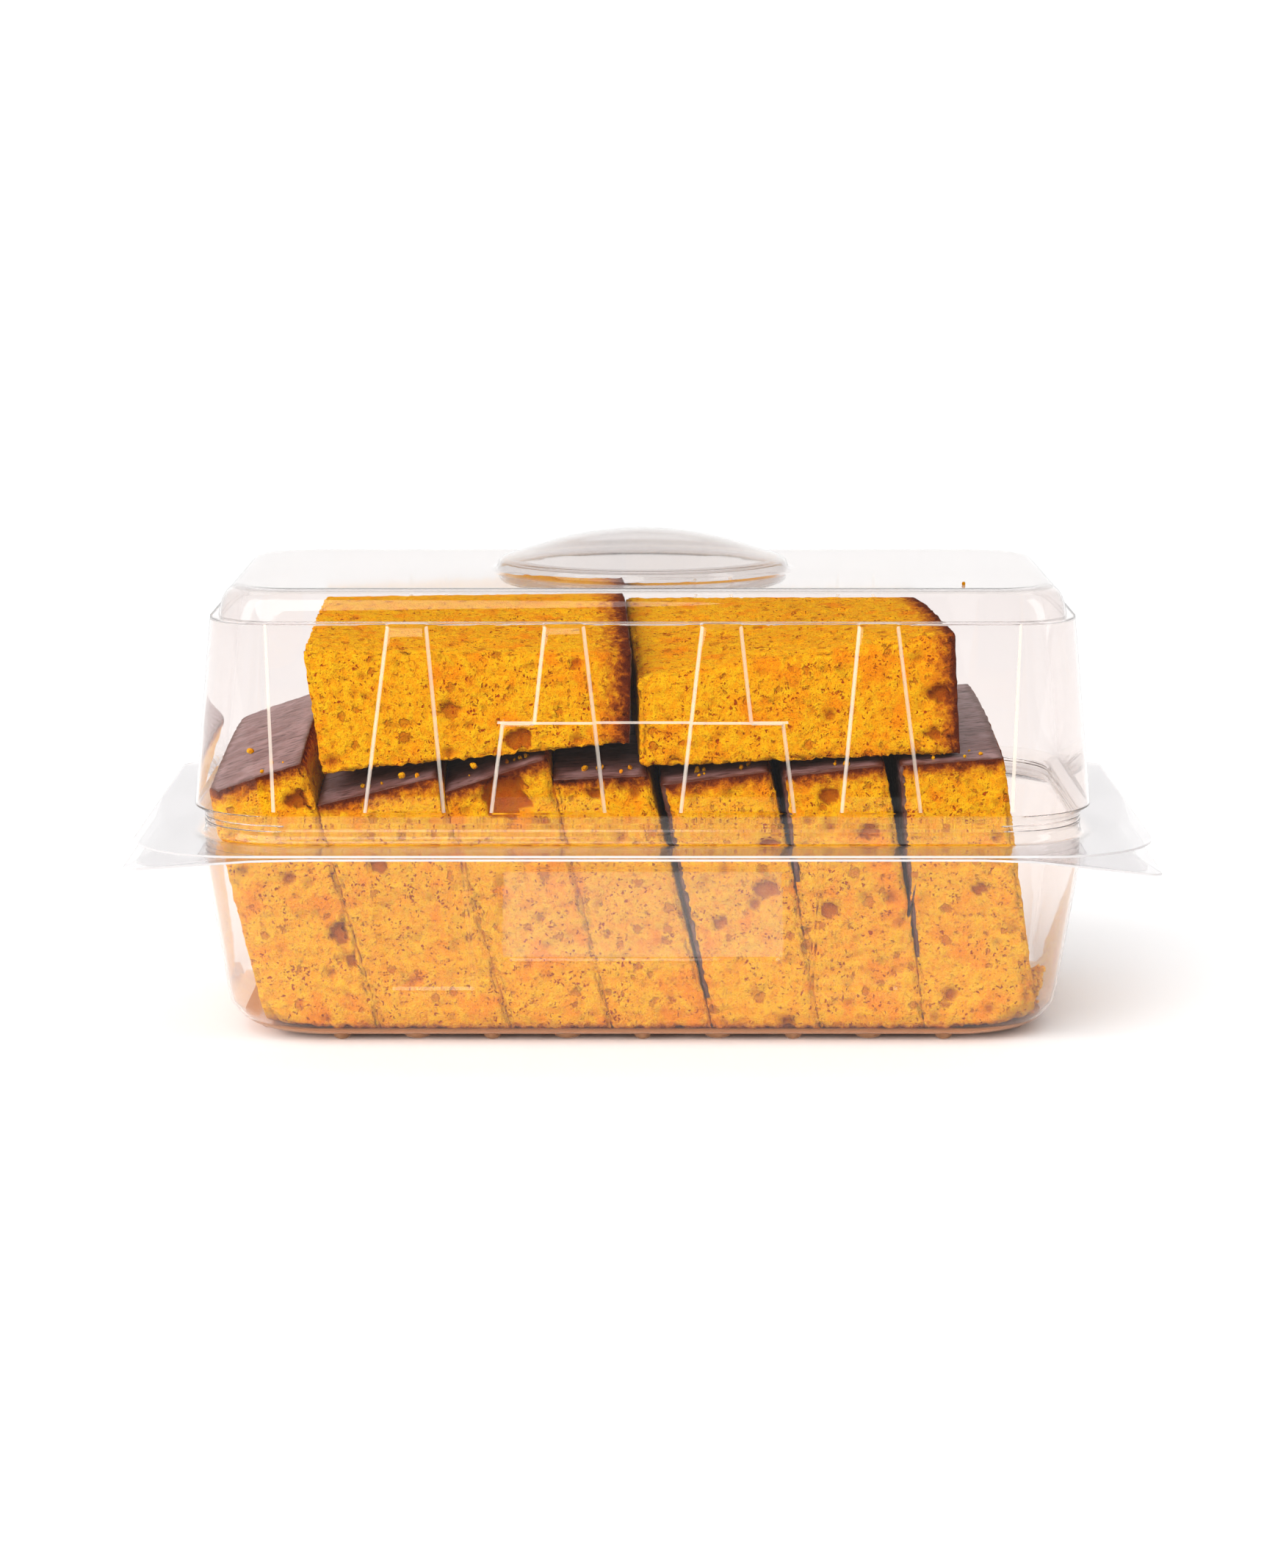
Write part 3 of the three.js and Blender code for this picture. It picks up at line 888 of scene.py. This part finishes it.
    def dress(self, bm: bmesh.types.BMesh) -> None:
        """Gives slot 1, a milky painted highlight, to the flute slopes, the panel step and a
        narrow streak on each front corner; the flange 2 and the flat top 5, both greyer as painted
        shade; the skirt 4 and the rest 0.

        Args:
            bm: the sheet's outside.
        """
        for face in bm.faces:
            middle = face.calc_center_median()
            on_wall = self.foot + 1.0 < middle.z < self.head - 0.4 and abs(middle.y) > 40.0
            sloped = abs(face.normal.x) > 0.6 and abs(middle.x) < 70.0
            step = abs(middle.z - self.panel_top) < self.panel_step / 2.0
            step = step and middle.y < 0.0 and abs(middle.x) < 33.0
            share = (middle.z - self.foot) / (self.head - self.foot)
            corner = mix(self.foot_corner, self.head_corner, share)
            into = abs(middle.x) - mix(self.foot_half[0], self.head_half[0], share) + corner
            turned = math.degrees(math.asin(min(max(into / corner, 0.0), 1.0)))
            corner_streak = self.streak_deg[0] < turned < self.streak_deg[1] and middle.y < 0.0
            # Painted highlight: flute slopes, the panel's top step and the corner streak take the
            # milky slot 1.
            face.material_index = 1 if on_wall and (sloped or step or corner_streak) else 0
            if self.flange_top + 0.5 < middle.z < self.foot:
                face.material_index = 4
            elif middle.z < self.flange_top + 0.1:
                face.material_index = 2
            elif middle.z > self.cap[-3][0]:
                face.material_index = 5


@dataclass
class TrayRibs:
    """The ribs under the tray's floor, each a long rounded bar with a flat foot."""

    pitch: float = 17.55
    depth: float = 1.58
    widths: tuple[float, ...] = (4.4, 7.2, 4.4, 7.2, 4.4, 5.4)
    reaches: tuple[float, ...] = (41.8, 41.8, 41.8, 41.8, 41.8, 30.0)
    segments: int = 20
    foot_cut: float = 0.93

    def rib(self, bm: bmesh.types.BMesh, step: int) -> None:
        """Adds one rib.

        Args:
            bm: the shape that takes it.
            step: its place, counted from the middle one.
        """
        half = self.widths[abs(step)] / 2.0
        straight = self.reaches[abs(step)] - half
        made = bmesh.ops.create_uvsphere(
            bm, u_segments=self.segments, v_segments=self.segments // 2, radius=1.0)
        middle = Vector((step * self.pitch, 0.0, self.depth))
        for vert in made["verts"]:
            x, y, z = vert.co
            down = max(min(z, 0.0), -self.foot_cut) / self.foot_cut
            along = math.copysign(straight, y) if abs(y) > 1e-4 else 0.0
            vert.co = middle + Vector((x * half, along + y * half, down * self.depth))

    def build(self, material: bpy.types.Material) -> bpy.types.Object:
        """Builds all ribs as one piece that rides on the tray.

        Args:
            material: their finish, a brown tint that paints the cake's crust seen through them.

        Returns:
            The finished object.
        """
        bm = bmesh.new()
        last = len(self.widths) - 1
        for step in range(-last, last + 1):
            self.rib(bm, step)
        bmesh.ops.recalc_face_normals(bm, faces=bm.faces)
        piece = finish_mesh(bm, "tray_ribs", [material], sharp_deg=50.0)
        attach(piece, "tray")
        return piece


# ---- Cake -------------------------------------------------------------------------------


class Face(Enum):
    """The side of a slice that its baked crust is on."""

    TOP = 2
    RIGHT = 0


@dataclass(frozen=True)
class Hole:
    """A wide air hole in a front face: place across and up, radius and depth."""

    x: float
    z: float
    radius: float
    depth: float


@dataclass
class Slice:
    """One slice of cake: an X-Z section at the front and one at the back, joined straight.

    Corners run low left, low right, top right, top left.
    """

    node: str
    front: Sequence[Pair]
    back: Sequence[Pair]
    reach: Pair
    seed: int
    crust: Face = Face.TOP
    crown: float = 0.0
    sag: float = 0.0
    bulge: Pair = (0.0, 0.0)
    stain: float = 1.0
    bottom_crust: bool = True
    # Height above which the left face takes the dark side: painted shade for the gap on its left.
    dark_side_from: Optional[float] = None
    rounding: float = 0.6
    spacing: float = 0.8
    holes: tuple[Hole, ...] = ()
    tray: Tray = field(default_factory=Tray)

    def half_size(self) -> Vector:
        """Returns half the slice's thickness, length and height.

        Returns:
            The three sizes.
        """
        low_left, low_right, _, top_left = (Vector(corner) for corner in self.front)
        return Vector((
            (low_right - low_left).length / 2.0,
            self.reach[1],
            (top_left - low_left).length / 2.0,
        ))

    def section_point(self, corners: Sequence[Pair], across: float, up: float) -> Pair:
        """Returns the point of a section at -1 to 1 across and up.

        Args:
            corners: the section's corners.
            across: -1 at the left, 1 at the right.
            up: -1 at the bottom, 1 at the top.

        Returns:
            The point's x and z.
        """
        low = mix_pair(corners[0], corners[1], (across + 1.0) / 2.0)
        top = mix_pair(corners[3], corners[2], (across + 1.0) / 2.0)
        return mix_pair(low, top, (up + 1.0) / 2.0)

    def place(self, point: Vector, half: Vector) -> Vector:
        """Returns where a point of the straight block lies in the slice.

        Args:
            point: the point in the block, in millimetres from its middle.
            half: half the block's size.

        Returns:
            The point in the part's frame, in millimetres.
        """
        core = half - Vector((self.rounding,) * 3)
        nearest = Vector(max(-c, min(c, p)) for p, c in zip(point, core))
        outward = (point - nearest).normalized()
        shaped = nearest + outward * self.rounding
        across, along, up = (shaped[i] / half[i] for i in range(3))
        share = (along + 1.0) / 2.0
        front = self.section_point(self.front, across, up)
        back = self.section_point(self.back, across, up)
        x, z = mix_pair(front, back, share)
        belly = 1.0 - up * up
        x += belly * mix(-self.bulge[0], self.bulge[1], (across + 1.0) / 2.0)
        y = along * mix(self.reach[0], self.reach[1], (up + 1.0) / 2.0)
        arch = 1.0 - along * along
        z += arch * (max(up, 0.0) * self.crown + (1.0 - up) / 2.0 * self.sag)
        return self.clear_of_corners(Vector((x, y, z)))

    def clear_of_corners(self, point: Vector) -> Vector:
        """Returns a point kept inside the rounded corners of the tray.

        Args:
            point: the point.

        Returns:
            The same point, moved in where it has to be.
        """
        half_x, half_y, corner = self.tray.at(min(point.z - 1.0, 47.6))
        beyond = Vector((abs(point.x) - half_x + corner, abs(point.y) - half_y + corner))
        over = beyond.length - (corner - 1.2)
        if min(beyond) > 0.0 and over > 0.0:
            pull = beyond.normalized() * over
            point.x -= math.copysign(pull.x, point.x)
            point.y -= math.copysign(pull.y, point.y)
        return point

    def block(self, half: Vector) -> bmesh.types.BMesh:
        """Returns a finely divided block of the slice's size, in millimetres.

        Args:
            half: half its size.

        Returns:
            The block.
        """
        bm = bmesh.new()
        bmesh.ops.create_cube(bm, size=2.0)
        for axis in range(3):
            cuts = max(round(2.0 * half[axis] / self.spacing) - 1, 1)
            edges = [
                edge for edge in bm.edges
                if abs((edge.verts[0].co - edge.verts[1].co)[axis]) > 1e-6
            ]
            bmesh.ops.subdivide_edges(bm, edges=edges, cuts=cuts, use_grid_fill=True)
        for vert in bm.verts:
            vert.co = Vector(vert.co[i] * half[i] for i in range(3))
        return bm

    def pits(self, place: Vector) -> float:
        """Returns how deep the crumb is pitted at a point, in millimetres.

        Args:
            place: the point.

        Returns:
            The depth.
        """
        key = place + Vector((31.7, 17.3, 53.9)) * self.seed
        deep = 0.0
        for scale, size, depth in ((0.13, 0.36, 2.0), (0.3, 0.4, 1.1), (0.52, 0.45, 0.6)):
            near, centres = noise.voronoi(key * scale)
            chance = abs(noise.cell(centres[0] * 7.31))
            radius = size * (0.25 + 0.75 * chance)
            deep += depth * smooth(1.4 * (1.0 - near[0] / radius)) * (0.3 + 0.7 * chance)
        return deep

    def hollow(self, here: Vector) -> float:
        """Returns how deep the named holes of the front face are at a point.

        Args:
            here: the point.

        Returns:
            The depth, in millimetres.
        """
        deep = 0.0
        for hole in self.holes:
            away = math.hypot(here.x - hole.x, (here.z - hole.z) * 1.3) / hole.radius
            away += 0.45 * noise.noise(here * (1.6 / hole.radius))
            deep = max(deep, hole.depth * smooth(1.0 + (1.0 - away) * 3.0))
        return deep

    def roughen(self, bm: bmesh.types.BMesh, skin: dict[bmesh.types.BMVert, Pair]) -> None:
        """Moves the points in and out for crags, pits and holes, and stores each pit's depth for
        the crumb's painted shade.

        Args:
            bm: the slice's shape in its place.
            skin: for each point, 1 on the crust and 0 on the crumb, and 1 at an edge and 0
                away from it.
        """
        pit_shade = bm.verts.layers.float["pit_shade"]
        bm.normal_update()
        moves = {}
        for vert, (baked, brink) in skin.items():
            here, normal = vert.co.copy(), vert.normal.copy()
            aside = smooth((abs(normal.x) - 0.75) * 8.0)
            rough = noise.noise(here * 0.4 + Vector((self.seed, 0.0, 0.0)))
            rough += 0.6 * noise.noise(here * 0.95)
            deep = self.pits(here) * (1.0 - 0.7 * aside)
            hole = self.hollow(here) if normal.y < -0.6 else 0.0
            crag = mix(0.35 - 0.4 * rough, -0.12 - 0.3 * rough, aside)
            crumble = 0.5 + 1.3 * noise.noise(here * 0.6) + 0.9 * noise.noise(here * 1.35)
            crag += brink * max(crumble, -0.2)
            move = mix(deep + hole + crag, 0.2 + 0.2 * rough, baked)
            # This value darkens the crumb's colour: painted shade in pits and holes.
            vert[pit_shade] = mix(min((deep + hole * 1.5) / 2.4, 1.0), 0.0, baked)
            moves[vert] = normal * move
        for vert, move in moves.items():
            vert.co -= move

    def build(self, finishes: Sequence[bpy.types.Material]) -> bpy.types.Object:
        """Builds the slice in place of its CAD node.

        Args:
            finishes: those of the crumb, the baked crust and a dark side that is painted shade for
                the gaps between slices, at one cut also taken as the cake's side crust.

        Returns:
            The finished object.
        """
        half = self.half_size()
        bm = self.block(half)
        axis = self.crust.value
        for face in bm.faces:
            middle = face.calc_center_median()
            face.material_index = 1 if middle[axis] > half[axis] - 1e-3 else 0
            # The left face above dark_side_from takes the dark side: painted shade in the gap, and
            # at the cut between slices 4 and 5 also the side crust.
            if self.dark_side_from is not None and middle.x < -half.x + 1e-3:
                high = middle.z + half.z > self.dark_side_from
                face.material_index = 2 if high else 0
        for name in ("pit_shade", "crust_mm", "edge_mm"):
            bm.verts.layers.float.new(name)
        crust_mm, edge_mm = (bm.verts.layers.float[name] for name in ("crust_mm", "edge_mm"))
        skin = {}
        for vert in bm.verts:
            below = half[axis] - vert.co[axis]
            over = (vert.co.z + half.z) * 1.6 + 0.6 if self.bottom_crust else below
            vert[crust_mm] = min(below / self.stain, over)
            near = sorted(half[i] - abs(vert.co[i]) for i in range(3))
            vert[edge_mm] = near[1]
            skin[vert] = (smooth(1.0 - below / 1.2), smooth(1.0 - near[1] / 1.8))
            vert.co = self.place(vert.co, half)
        self.roughen(bm, skin)
        name = self.node.replace("slice", "cake_slice")
        piece = finish_mesh(bm, name, finishes)
        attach(piece, "tray")
        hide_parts(self.node)
        return piece


@dataclass(frozen=True)
class Cut:
    """A cut of the standing row: place at half height, lean in degrees, gap at its top.

    bulge is how far the slices on its two sides belly into it at half height.
    """

    x: float
    lean: float
    back_lean: float
    gap: float
    bulge: float = 0.0


@dataclass
class StandingRow:
    """The slices that stand in the tray, leaning to the left."""

    floor: float = 2.4
    half_height: float = 33.5
    low_gap: float = 0.15
    back_gap: float = 0.15
    back_rise: float = 5.0
    crown: float = 1.8
    reach: Pair = (43.0, 44.4)
    cuts: tuple[Cut, ...] = (
        Cut(-94.4, 13.0, 12.0, 0.0),
        Cut(-69.2, 15.5, 14.5, 0.5, 0.1),
        Cut(-39.0, 15.5, 15.0, 0.2, 0.1),
        Cut(-14.2, 13.5, 14.0, 0.3, 0.1),
        Cut(9.2, 13.0, 13.5, 2.8),
        Cut(36.0, 10.0, 11.5, 3.2, 0.6),
        Cut(61.6, 7.5, 10.0, 3.8, 0.5),
        Cut(87.8, 8.0, 8.5, 0.0),
    )
    heights: tuple[Pair, ...] = (
        (58.9, 66.1), (56.1, 62.9), (59.1, 67.1), (62.1, 63.1), (60.9, 64.1), (62.9, 65.5),
        (65.5, 67.2),
    )
    # Slices whose left face is dark above a given height: painted shade in the gaps to the left of
    # slice_row_5, slice_row_6 and slice_row_7, and at the first of these also the cake's side
    # crust.
    dark_sides: dict[int, float] = field(default_factory=lambda: {4: 8.0, 5: 36.0, 6: 18.0})
    holes: dict[int, tuple[Hole, ...]] = field(default_factory=lambda: {
        0: (Hole(-78.5, 57.0, 2.8, 2.6), Hole(-68.8, 26.0, 3.0, 2.4), Hole(-67.0, 19.0, 1.6, 1.6)),
        1: (Hole(-61.0, 41.5, 1.8, 1.4),),
        2: (Hole(-31.6, 57.6, 4.8, 4.2), Hole(-45.0, 23.0, 1.6, 1.4)),
        3: (Hole(-17.0, 62.0, 1.5, 1.6), Hole(-11.0, 58.5, 1.5, 1.6)),
        4: (Hole(29.5, 46.0, 2.2, 1.6), Hole(29.0, 36.0, 2.4, 1.8), Hole(18.0, 28.0, 1.6, 1.4)),
        5: (Hole(43.0, 58.0, 2.0, 1.8), Hole(52.5, 49.5, 2.0, 1.8), Hole(43.0, 31.0, 2.0, 1.6)),
        6: (Hole(78.0, 36.0, 1.6, 1.4),),
    })

    def cut_point(self, cut: Cut, back: bool, z: float, side: float) -> Pair:
        """Returns a point of a cut's face.

        Args:
            cut: the cut.
            back: at the row's back end, else at its front.
            z: the point's height.
            side: -1 for the slice on its left, 1 for the one on its right.

        Returns:
            The point's x and z.
        """
        share = (z - self.floor) / (2.0 * self.half_height - self.floor)
        gap = mix(self.low_gap, max(cut.gap, self.low_gap), share)
        lean = cut.back_lean if back else cut.lean
        if back:
            gap *= self.back_gap
        x = cut.x - (z - self.half_height) * math.tan(math.radians(lean))
        return (x + side * gap / 2.0, z)

    def section(self, index: int, back: bool) -> list[Pair]:
        """Returns one end's section of a slice.

        Args:
            index: the slice, counted from the left.
            back: its back end, else its front.

        Returns:
            The section's corners.
        """
        left, right = self.cuts[index], self.cuts[index + 1]
        rise = self.back_rise if back else 0.0
        left_top, right_top = (height + rise for height in self.heights[index])
        return [
            self.cut_point(left, back, self.floor, 1.0),
            self.cut_point(right, back, self.floor, -1.0),
            self.cut_point(right, back, right_top, -1.0),
            self.cut_point(left, back, left_top, 1.0),
        ]

    def slices(self) -> Iterable[Slice]:
        """Yields the slices from left to right.

        Yields:
            Each slice.
        """
        for index in range(len(self.heights)):
            yield Slice(
                node=f"slice_row_{index + 1}",
                front=self.section(index, False),
                back=self.section(index, True),
                reach=self.reach,
                seed=index + 1,
                crown=self.crown,
                dark_side_from=self.dark_sides.get(index),
                bulge=(self.cuts[index].bulge, self.cuts[index + 1].bulge),
                holes=self.holes.get(index, ()),
            )


@dataclass
class LyingPair:
    """The slices that lie on top of the row, on a cut side, with their crust to the right."""

    reach: Pair = (42.4, 42.4)

    def slices(self) -> Iterable[Slice]:
        """Yields the left one and the right one.

        Yields:
            Each slice.
        """
        yield Slice(
            node="slice_top_left",
            front=[(-73.8, 62.6), (-2.8, 69.9), (-2.4, 91.1), (-78.0, 91.9)],
            back=[(-75.0, 67.5), (-4.4, 74.4), (-4.8, 100.4), (-78.4, 97.0)],
            reach=self.reach,
            seed=8,
            crust=Face.RIGHT,
            sag=0.6,
            stain=1.9,
            bottom_crust=False,
            holes=(Hole(-28.5, 70.8, 2.8, 1.8), Hole(-44.0, 77.5, 2.0, 1.2)),
        )
        yield Slice(
            node="slice_top_right",
            front=[(-0.4, 64.1), (73.4, 67.3), (71.8, 96.1), (-0.9, 85.7)],
            back=[(-3.8, 69.2), (71.0, 72.4), (67.6, 96.2), (-4.3, 96.0)],
            reach=self.reach,
            seed=9,
            crust=Face.RIGHT,
            sag=1.2,
            stain=1.5,
            bottom_crust=False,
            holes=(Hole(68.4, 81.5, 2.2, 2.4), Hole(67.0, 72.0, 1.6, 1.4)),
        )


@dataclass
class Crumbs:
    """Loose crumbs: on the crusts in front of the lying slices, in the tray, and on the lid."""

    seed: int = 5
    on_crusts: int = 34
    from_crust: float = 12.0
    front_strip: Pair = (-42.0, -36.0)
    lid_crumb: Point = (73.9, -36.0, 106.4)
    in_heap: int = 26
    heaps: tuple[Point, ...] = (
        (92.6, -24.0, 8.0), (92.8, -30.0, 12.0), (92.2, -12.0, 7.0),
    )
    flakes: tuple[Point, ...] = (
        (-55.6, -41.5, 62.6), (-39.0, -41.2, 64.8), (-91.5, -30.0, 66.5), (44.5, -44.0, 88.5),
    )

    def crumb(self, bm: bmesh.types.BMesh, place: Vector, size: float, rng: random.Random) -> None:
        """Adds one crumb.

        Args:
            bm: the shape that takes it.
            place: its middle, in millimetres.
            size: its radius in millimetres.
            rng: source of its unevenness.
        """
        turn = Euler([rng.uniform(0.0, math.tau) for _ in range(3)]).to_matrix()
        stretch = Vector((rng.uniform(0.7, 1.5), rng.uniform(0.7, 1.1), rng.uniform(0.6, 1.0)))
        made = bmesh.ops.create_icosphere(bm, subdivisions=2, radius=1.0)
        for vert in made["verts"]:
            lump = 1.0 + 0.35 * noise.noise(vert.co * 1.7 + place)
            shaped = Vector(vert.co[i] * stretch[i] for i in range(3)) * lump * size
            vert.co = place + turn @ shaped

    def gather(self, bm: bmesh.types.BMesh, name: str, body: str,
               crumb: bpy.types.Material) -> bpy.types.Object:
        """Turns crumbs into one object that rides on a body.

        Args:
            bm: their shape; it is freed.
            name: the object's name.
            body: what they lie on.
            crumb: their finish.

        Returns:
            The object.
        """
        inner = bm.verts.layers.float.new("crust_mm")
        for vert in bm.verts:
            vert[inner] = self.from_crust
        piece = finish_mesh(bm, name, [crumb])
        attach(piece, body)
        return piece

    def build(self, crumb: bpy.types.Material, row: StandingRow) -> list[bpy.types.Object]:
        """Builds the crumbs.

        Args:
            crumb: their finish.
            row: the standing slices that some of them lie on.

        Returns:
            The crumbs in the tray, and the one on the lid.
        """
        rng = random.Random(self.seed)
        bm = bmesh.new()
        for _ in range(self.on_crusts):
            index = rng.randrange(len(row.heights))
            low, high = row.heights[index]
            share = rng.uniform(0.15, 0.85)
            lift = mix(low, high, share)
            left = row.cut_point(row.cuts[index], False, lift, 1.0)[0]
            right = row.cut_point(row.cuts[index + 1], False, lift, -1.0)[0]
            size = rng.uniform(0.25, 0.7)
            y = rng.uniform(*self.front_strip)
            half = row.reach[1]
            rise = row.back_rise * (y + half) / (2.0 * half) + row.crown * (1.0 - (y / half) ** 2)
            place = Vector((mix(left, right, share), y, lift + rise + size * 0.3))
            if abs(place.x) < 88.0:
                self.crumb(bm, place, size, rng)
        for flake in self.flakes:
            self.crumb(bm, Vector(flake), 0.9, rng)
        for x, y, z in self.heaps:
            for _ in range(self.in_heap):
                apart = Vector((rng.gauss(0.0, 0.8), rng.gauss(0.0, 2.5), rng.gauss(0.0, 1.8)))
                apart.x = min(max(apart.x, -1.0), 1.0)
                apart.z = max(apart.z, -1.6)
                self.crumb(bm, Vector((x, y, z)) + apart, rng.uniform(0.5, 1.1), rng)
        inside = self.gather(bm, "crumbs_loose", "tray", crumb)
        bm = bmesh.new()
        self.crumb(bm, Vector(self.lid_crumb), 0.55, rng)
        above = self.gather(bm, "crumb_on_lid", "lid", crumb)
        return [inside, above]


# ---- Studio -----------------------------------------------------------------------------


@dataclass(frozen=True)
class SoftLight:
    """An upright soft light that looks at a point."""

    name: str
    place: Point
    size: Pair
    power: float
    aim: Point = (0.0, 0.0, 0.05)

    def build(self) -> bpy.types.Object:
        """Adds the light.

        Returns:
            The light's object.
        """
        data = bpy.data.lights.new(self.name, "AREA")
        data.shape = "RECTANGLE"
        data.size, data.size_y = self.size
        data.energy = self.power
        lamp = bpy.data.objects.new(self.name, data)
        lamp.location = self.place
        toward = Vector(self.aim) - Vector(self.place)
        lamp.rotation_euler = toward.to_track_quat("-Z", "Y").to_euler()
        bpy.context.scene.collection.objects.link(lamp)
        return lamp


@dataclass
class Studio:
    """Pale floor, soft light and the camera at the photograph's angle."""

    camera_place: Point = (-0.0012, -0.9783, 0.21405)
    camera_down_deg: float = 9.305
    camera_lens: float = 94.43
    camera_frame: float = 36.0
    floor_size: float = 12.0
    front_level: float = 0.45
    back_level: float = 0.98
    side_level: float = 0.6
    sun_turn: Point = (54.0, 0.0, -30.0)
    sun_strength: float = 1.62
    sun_size_deg: float = 50.0
    bounces: tuple[tuple[str, int], ...] = (
        ("max_bounces", 24), ("transmission_bounces", 20), ("transparent_max_bounces", 32),
        ("glossy_bounces", 6), ("diffuse_bounces", 4),
    )
    lights: tuple[SoftLight, ...] = (
        SoftLight("left_box", (-0.9, -0.35, 0.55), (0.35, 0.9), 2.4),
        SoftLight("right_box", (0.95, -0.3, 0.5), (0.3, 0.9), 1.8),
    )

    def floor(self) -> bpy.types.Object:
        """Adds the floor.

        Returns:
            The floor's object.
        """
        bm = bmesh.new()
        bmesh.ops.create_grid(bm, x_segments=1, y_segments=1, size=self.floor_size / 2.0 / MM)
        piece = finish_mesh(bm, "studio_floor", [PaperFinish().make()])
        return piece

    def world(self) -> None:
        """Surrounds the scene with pale light, dimmer in front and to the sides."""
        sketch = NodeSketch(bpy.data.worlds.new("studio"))
        toward = sketch.add("ShaderNodeTexCoord").outputs["Generated"]
        split = sketch.add("ShaderNodeSeparateXYZ", {0: toward}).outputs
        level = sketch.ramp(split["Y"], -0.8, 0.6, self.front_level, self.back_level)
        aside = sketch.math("ABSOLUTE", split["X"], 0.0)
        dim = sketch.ramp(aside, 0.2, 0.65, 1.0, self.side_level)
        strength = sketch.math("MULTIPLY", level, dim)
        shade = {"Color": (1.0, 1.0, 1.0), "Strength": strength}
        bpy.context.scene.world = sketch.done(sketch.add("ShaderNodeBackground", shade))

    def sun(self) -> None:
        """Adds the wide soft light from above, in front and to the left."""
        data = bpy.data.lights.new("sky_panel", "SUN")
        data.energy = self.sun_strength
        data.angle = math.radians(self.sun_size_deg)
        lamp = bpy.data.objects.new("sky_panel", data)
        lamp.rotation_euler = tuple(math.radians(turn) for turn in self.sun_turn)
        bpy.context.scene.collection.objects.link(lamp)

    def camera(self) -> bpy.types.Object:
        """Adds the camera and makes it the scene's.

        Returns:
            The camera's object.
        """
        data = bpy.data.cameras.new("camera")
        data.sensor_fit = "VERTICAL"
        data.sensor_height = self.camera_frame
        data.lens = self.camera_lens
        view = bpy.data.objects.new("camera", data)
        view.location = self.camera_place
        view.rotation_euler = (math.radians(90.0 - self.camera_down_deg), 0.0, 0.0)
        bpy.context.scene.collection.objects.link(view)
        bpy.context.scene.camera = view
        return view

    def build(self) -> None:
        """Adds floor, surroundings, lights and camera, and sets how light is traced."""
        self.floor()
        self.world()
        self.sun()
        for light in self.lights:
            light.build()
        self.camera()
        scene = bpy.context.scene
        scene.view_settings.view_transform = "Standard"
        scene.view_settings.look = "Medium High Contrast"
        for name, count in self.bounces:
            setattr(scene.cycles, name, count)


def main() -> None:
    """Builds the box, the cake and the studio, and reports each piece."""
    logging.basicConfig(level=logging.INFO, format="%(name)s: %(message)s")
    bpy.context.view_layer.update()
    clear = ClearSheetFinish("clear_sheet", (0.94, 0.905, 0.895), 1.0, 0.02).make()
    # Painted highlight: a milky, warm white sheet on the lid's flute slopes, panel step and front
    # corner streaks, for the bright lines that light makes there.
    ridge_highlight = ClearSheetFinish("sheet_ridge_highlight", (1.0, 0.93, 0.84), 0.7, 0.12).make()
    skirt = ClearSheetFinish("sheet_skirt", (0.93, 0.89, 0.87), 0.95, 0.05).make()
    tray_wall = ClearSheetFinish("sheet_tray", (0.965, 0.915, 0.89), 0.965, 0.03).make()
    tray_panel = ClearSheetFinish("sheet_panel", (0.965, 0.91, 0.88), 0.92, 0.05).make()
    # Painted shade: the flange and the flat top and dome get a greyer tint than the other walls of
    # the same sheet, so they read grey.
    flange = ClearSheetFinish("sheet_flange", (0.79, 0.775, 0.78), 0.975, 0.04).make()
    top = ClearSheetFinish("sheet_top", (0.74, 0.71, 0.7), 0.98, 0.03).make()
    # Painted highlight: the sheets' cut rims are milky white so that they read light.
    edge = ClearSheetFinish("sheet_edge_highlight", (0.96, 0.92, 0.92), 0.3, 0.2).make()
    # Painted see-through: a brown tint on the ribs and the tray's floor, standing in for the
    # cake's bottom crust seen through the clear sheet.
    rib = ClearSheetFinish("sheet_rib_painted_crust", (0.72, 0.42, 0.24), 0.6, 0.12).make()
    crumb = CrumbFinish().make()
    # The grey-pink in its mid and pale colours is partly painted sheen, over the shader's own
    # gloss; the red-brown is the crust's own colour.
    crust = CrustFinish(
        "cake_crust", (0.075, 0.026, 0.021), (0.2, 0.1, 0.092), (0.31, 0.19, 0.185)).make()
    # Painted shade with painted glints: a dark brown, glossy face so the gaps between slices read
    # dark, at one cut also taken as the cake's baked side crust; its pale flecks along the
    # wrinkles are painted glints.
    side = CrustFinish(
        "cake_gap_shade_side_crust", (0.32, 0.24, 0.26), (0.06, 0.024, 0.026), (0.12, 0.055, 0.06),
        0.35).make()
    finishes = [crumb, crust, side]

    made = [
        Tray().build([tray_wall, tray_panel, flange, edge, rib]),
        TrayRibs().build(rib),
        Lid().build([clear, ridge_highlight, flange, edge, skirt, top]),
    ]
    row = StandingRow()
    made.extend(piece.build(finishes) for piece in row.slices())
    made.extend(piece.build(finishes) for piece in LyingPair().slices())
    made.extend(Crumbs().build(crumb, row))
    for piece in made:
        log.info("%s: %d faces", piece.name, len(piece.data.polygons))
    Studio().build()


if __name__ == "__main__":
    main()
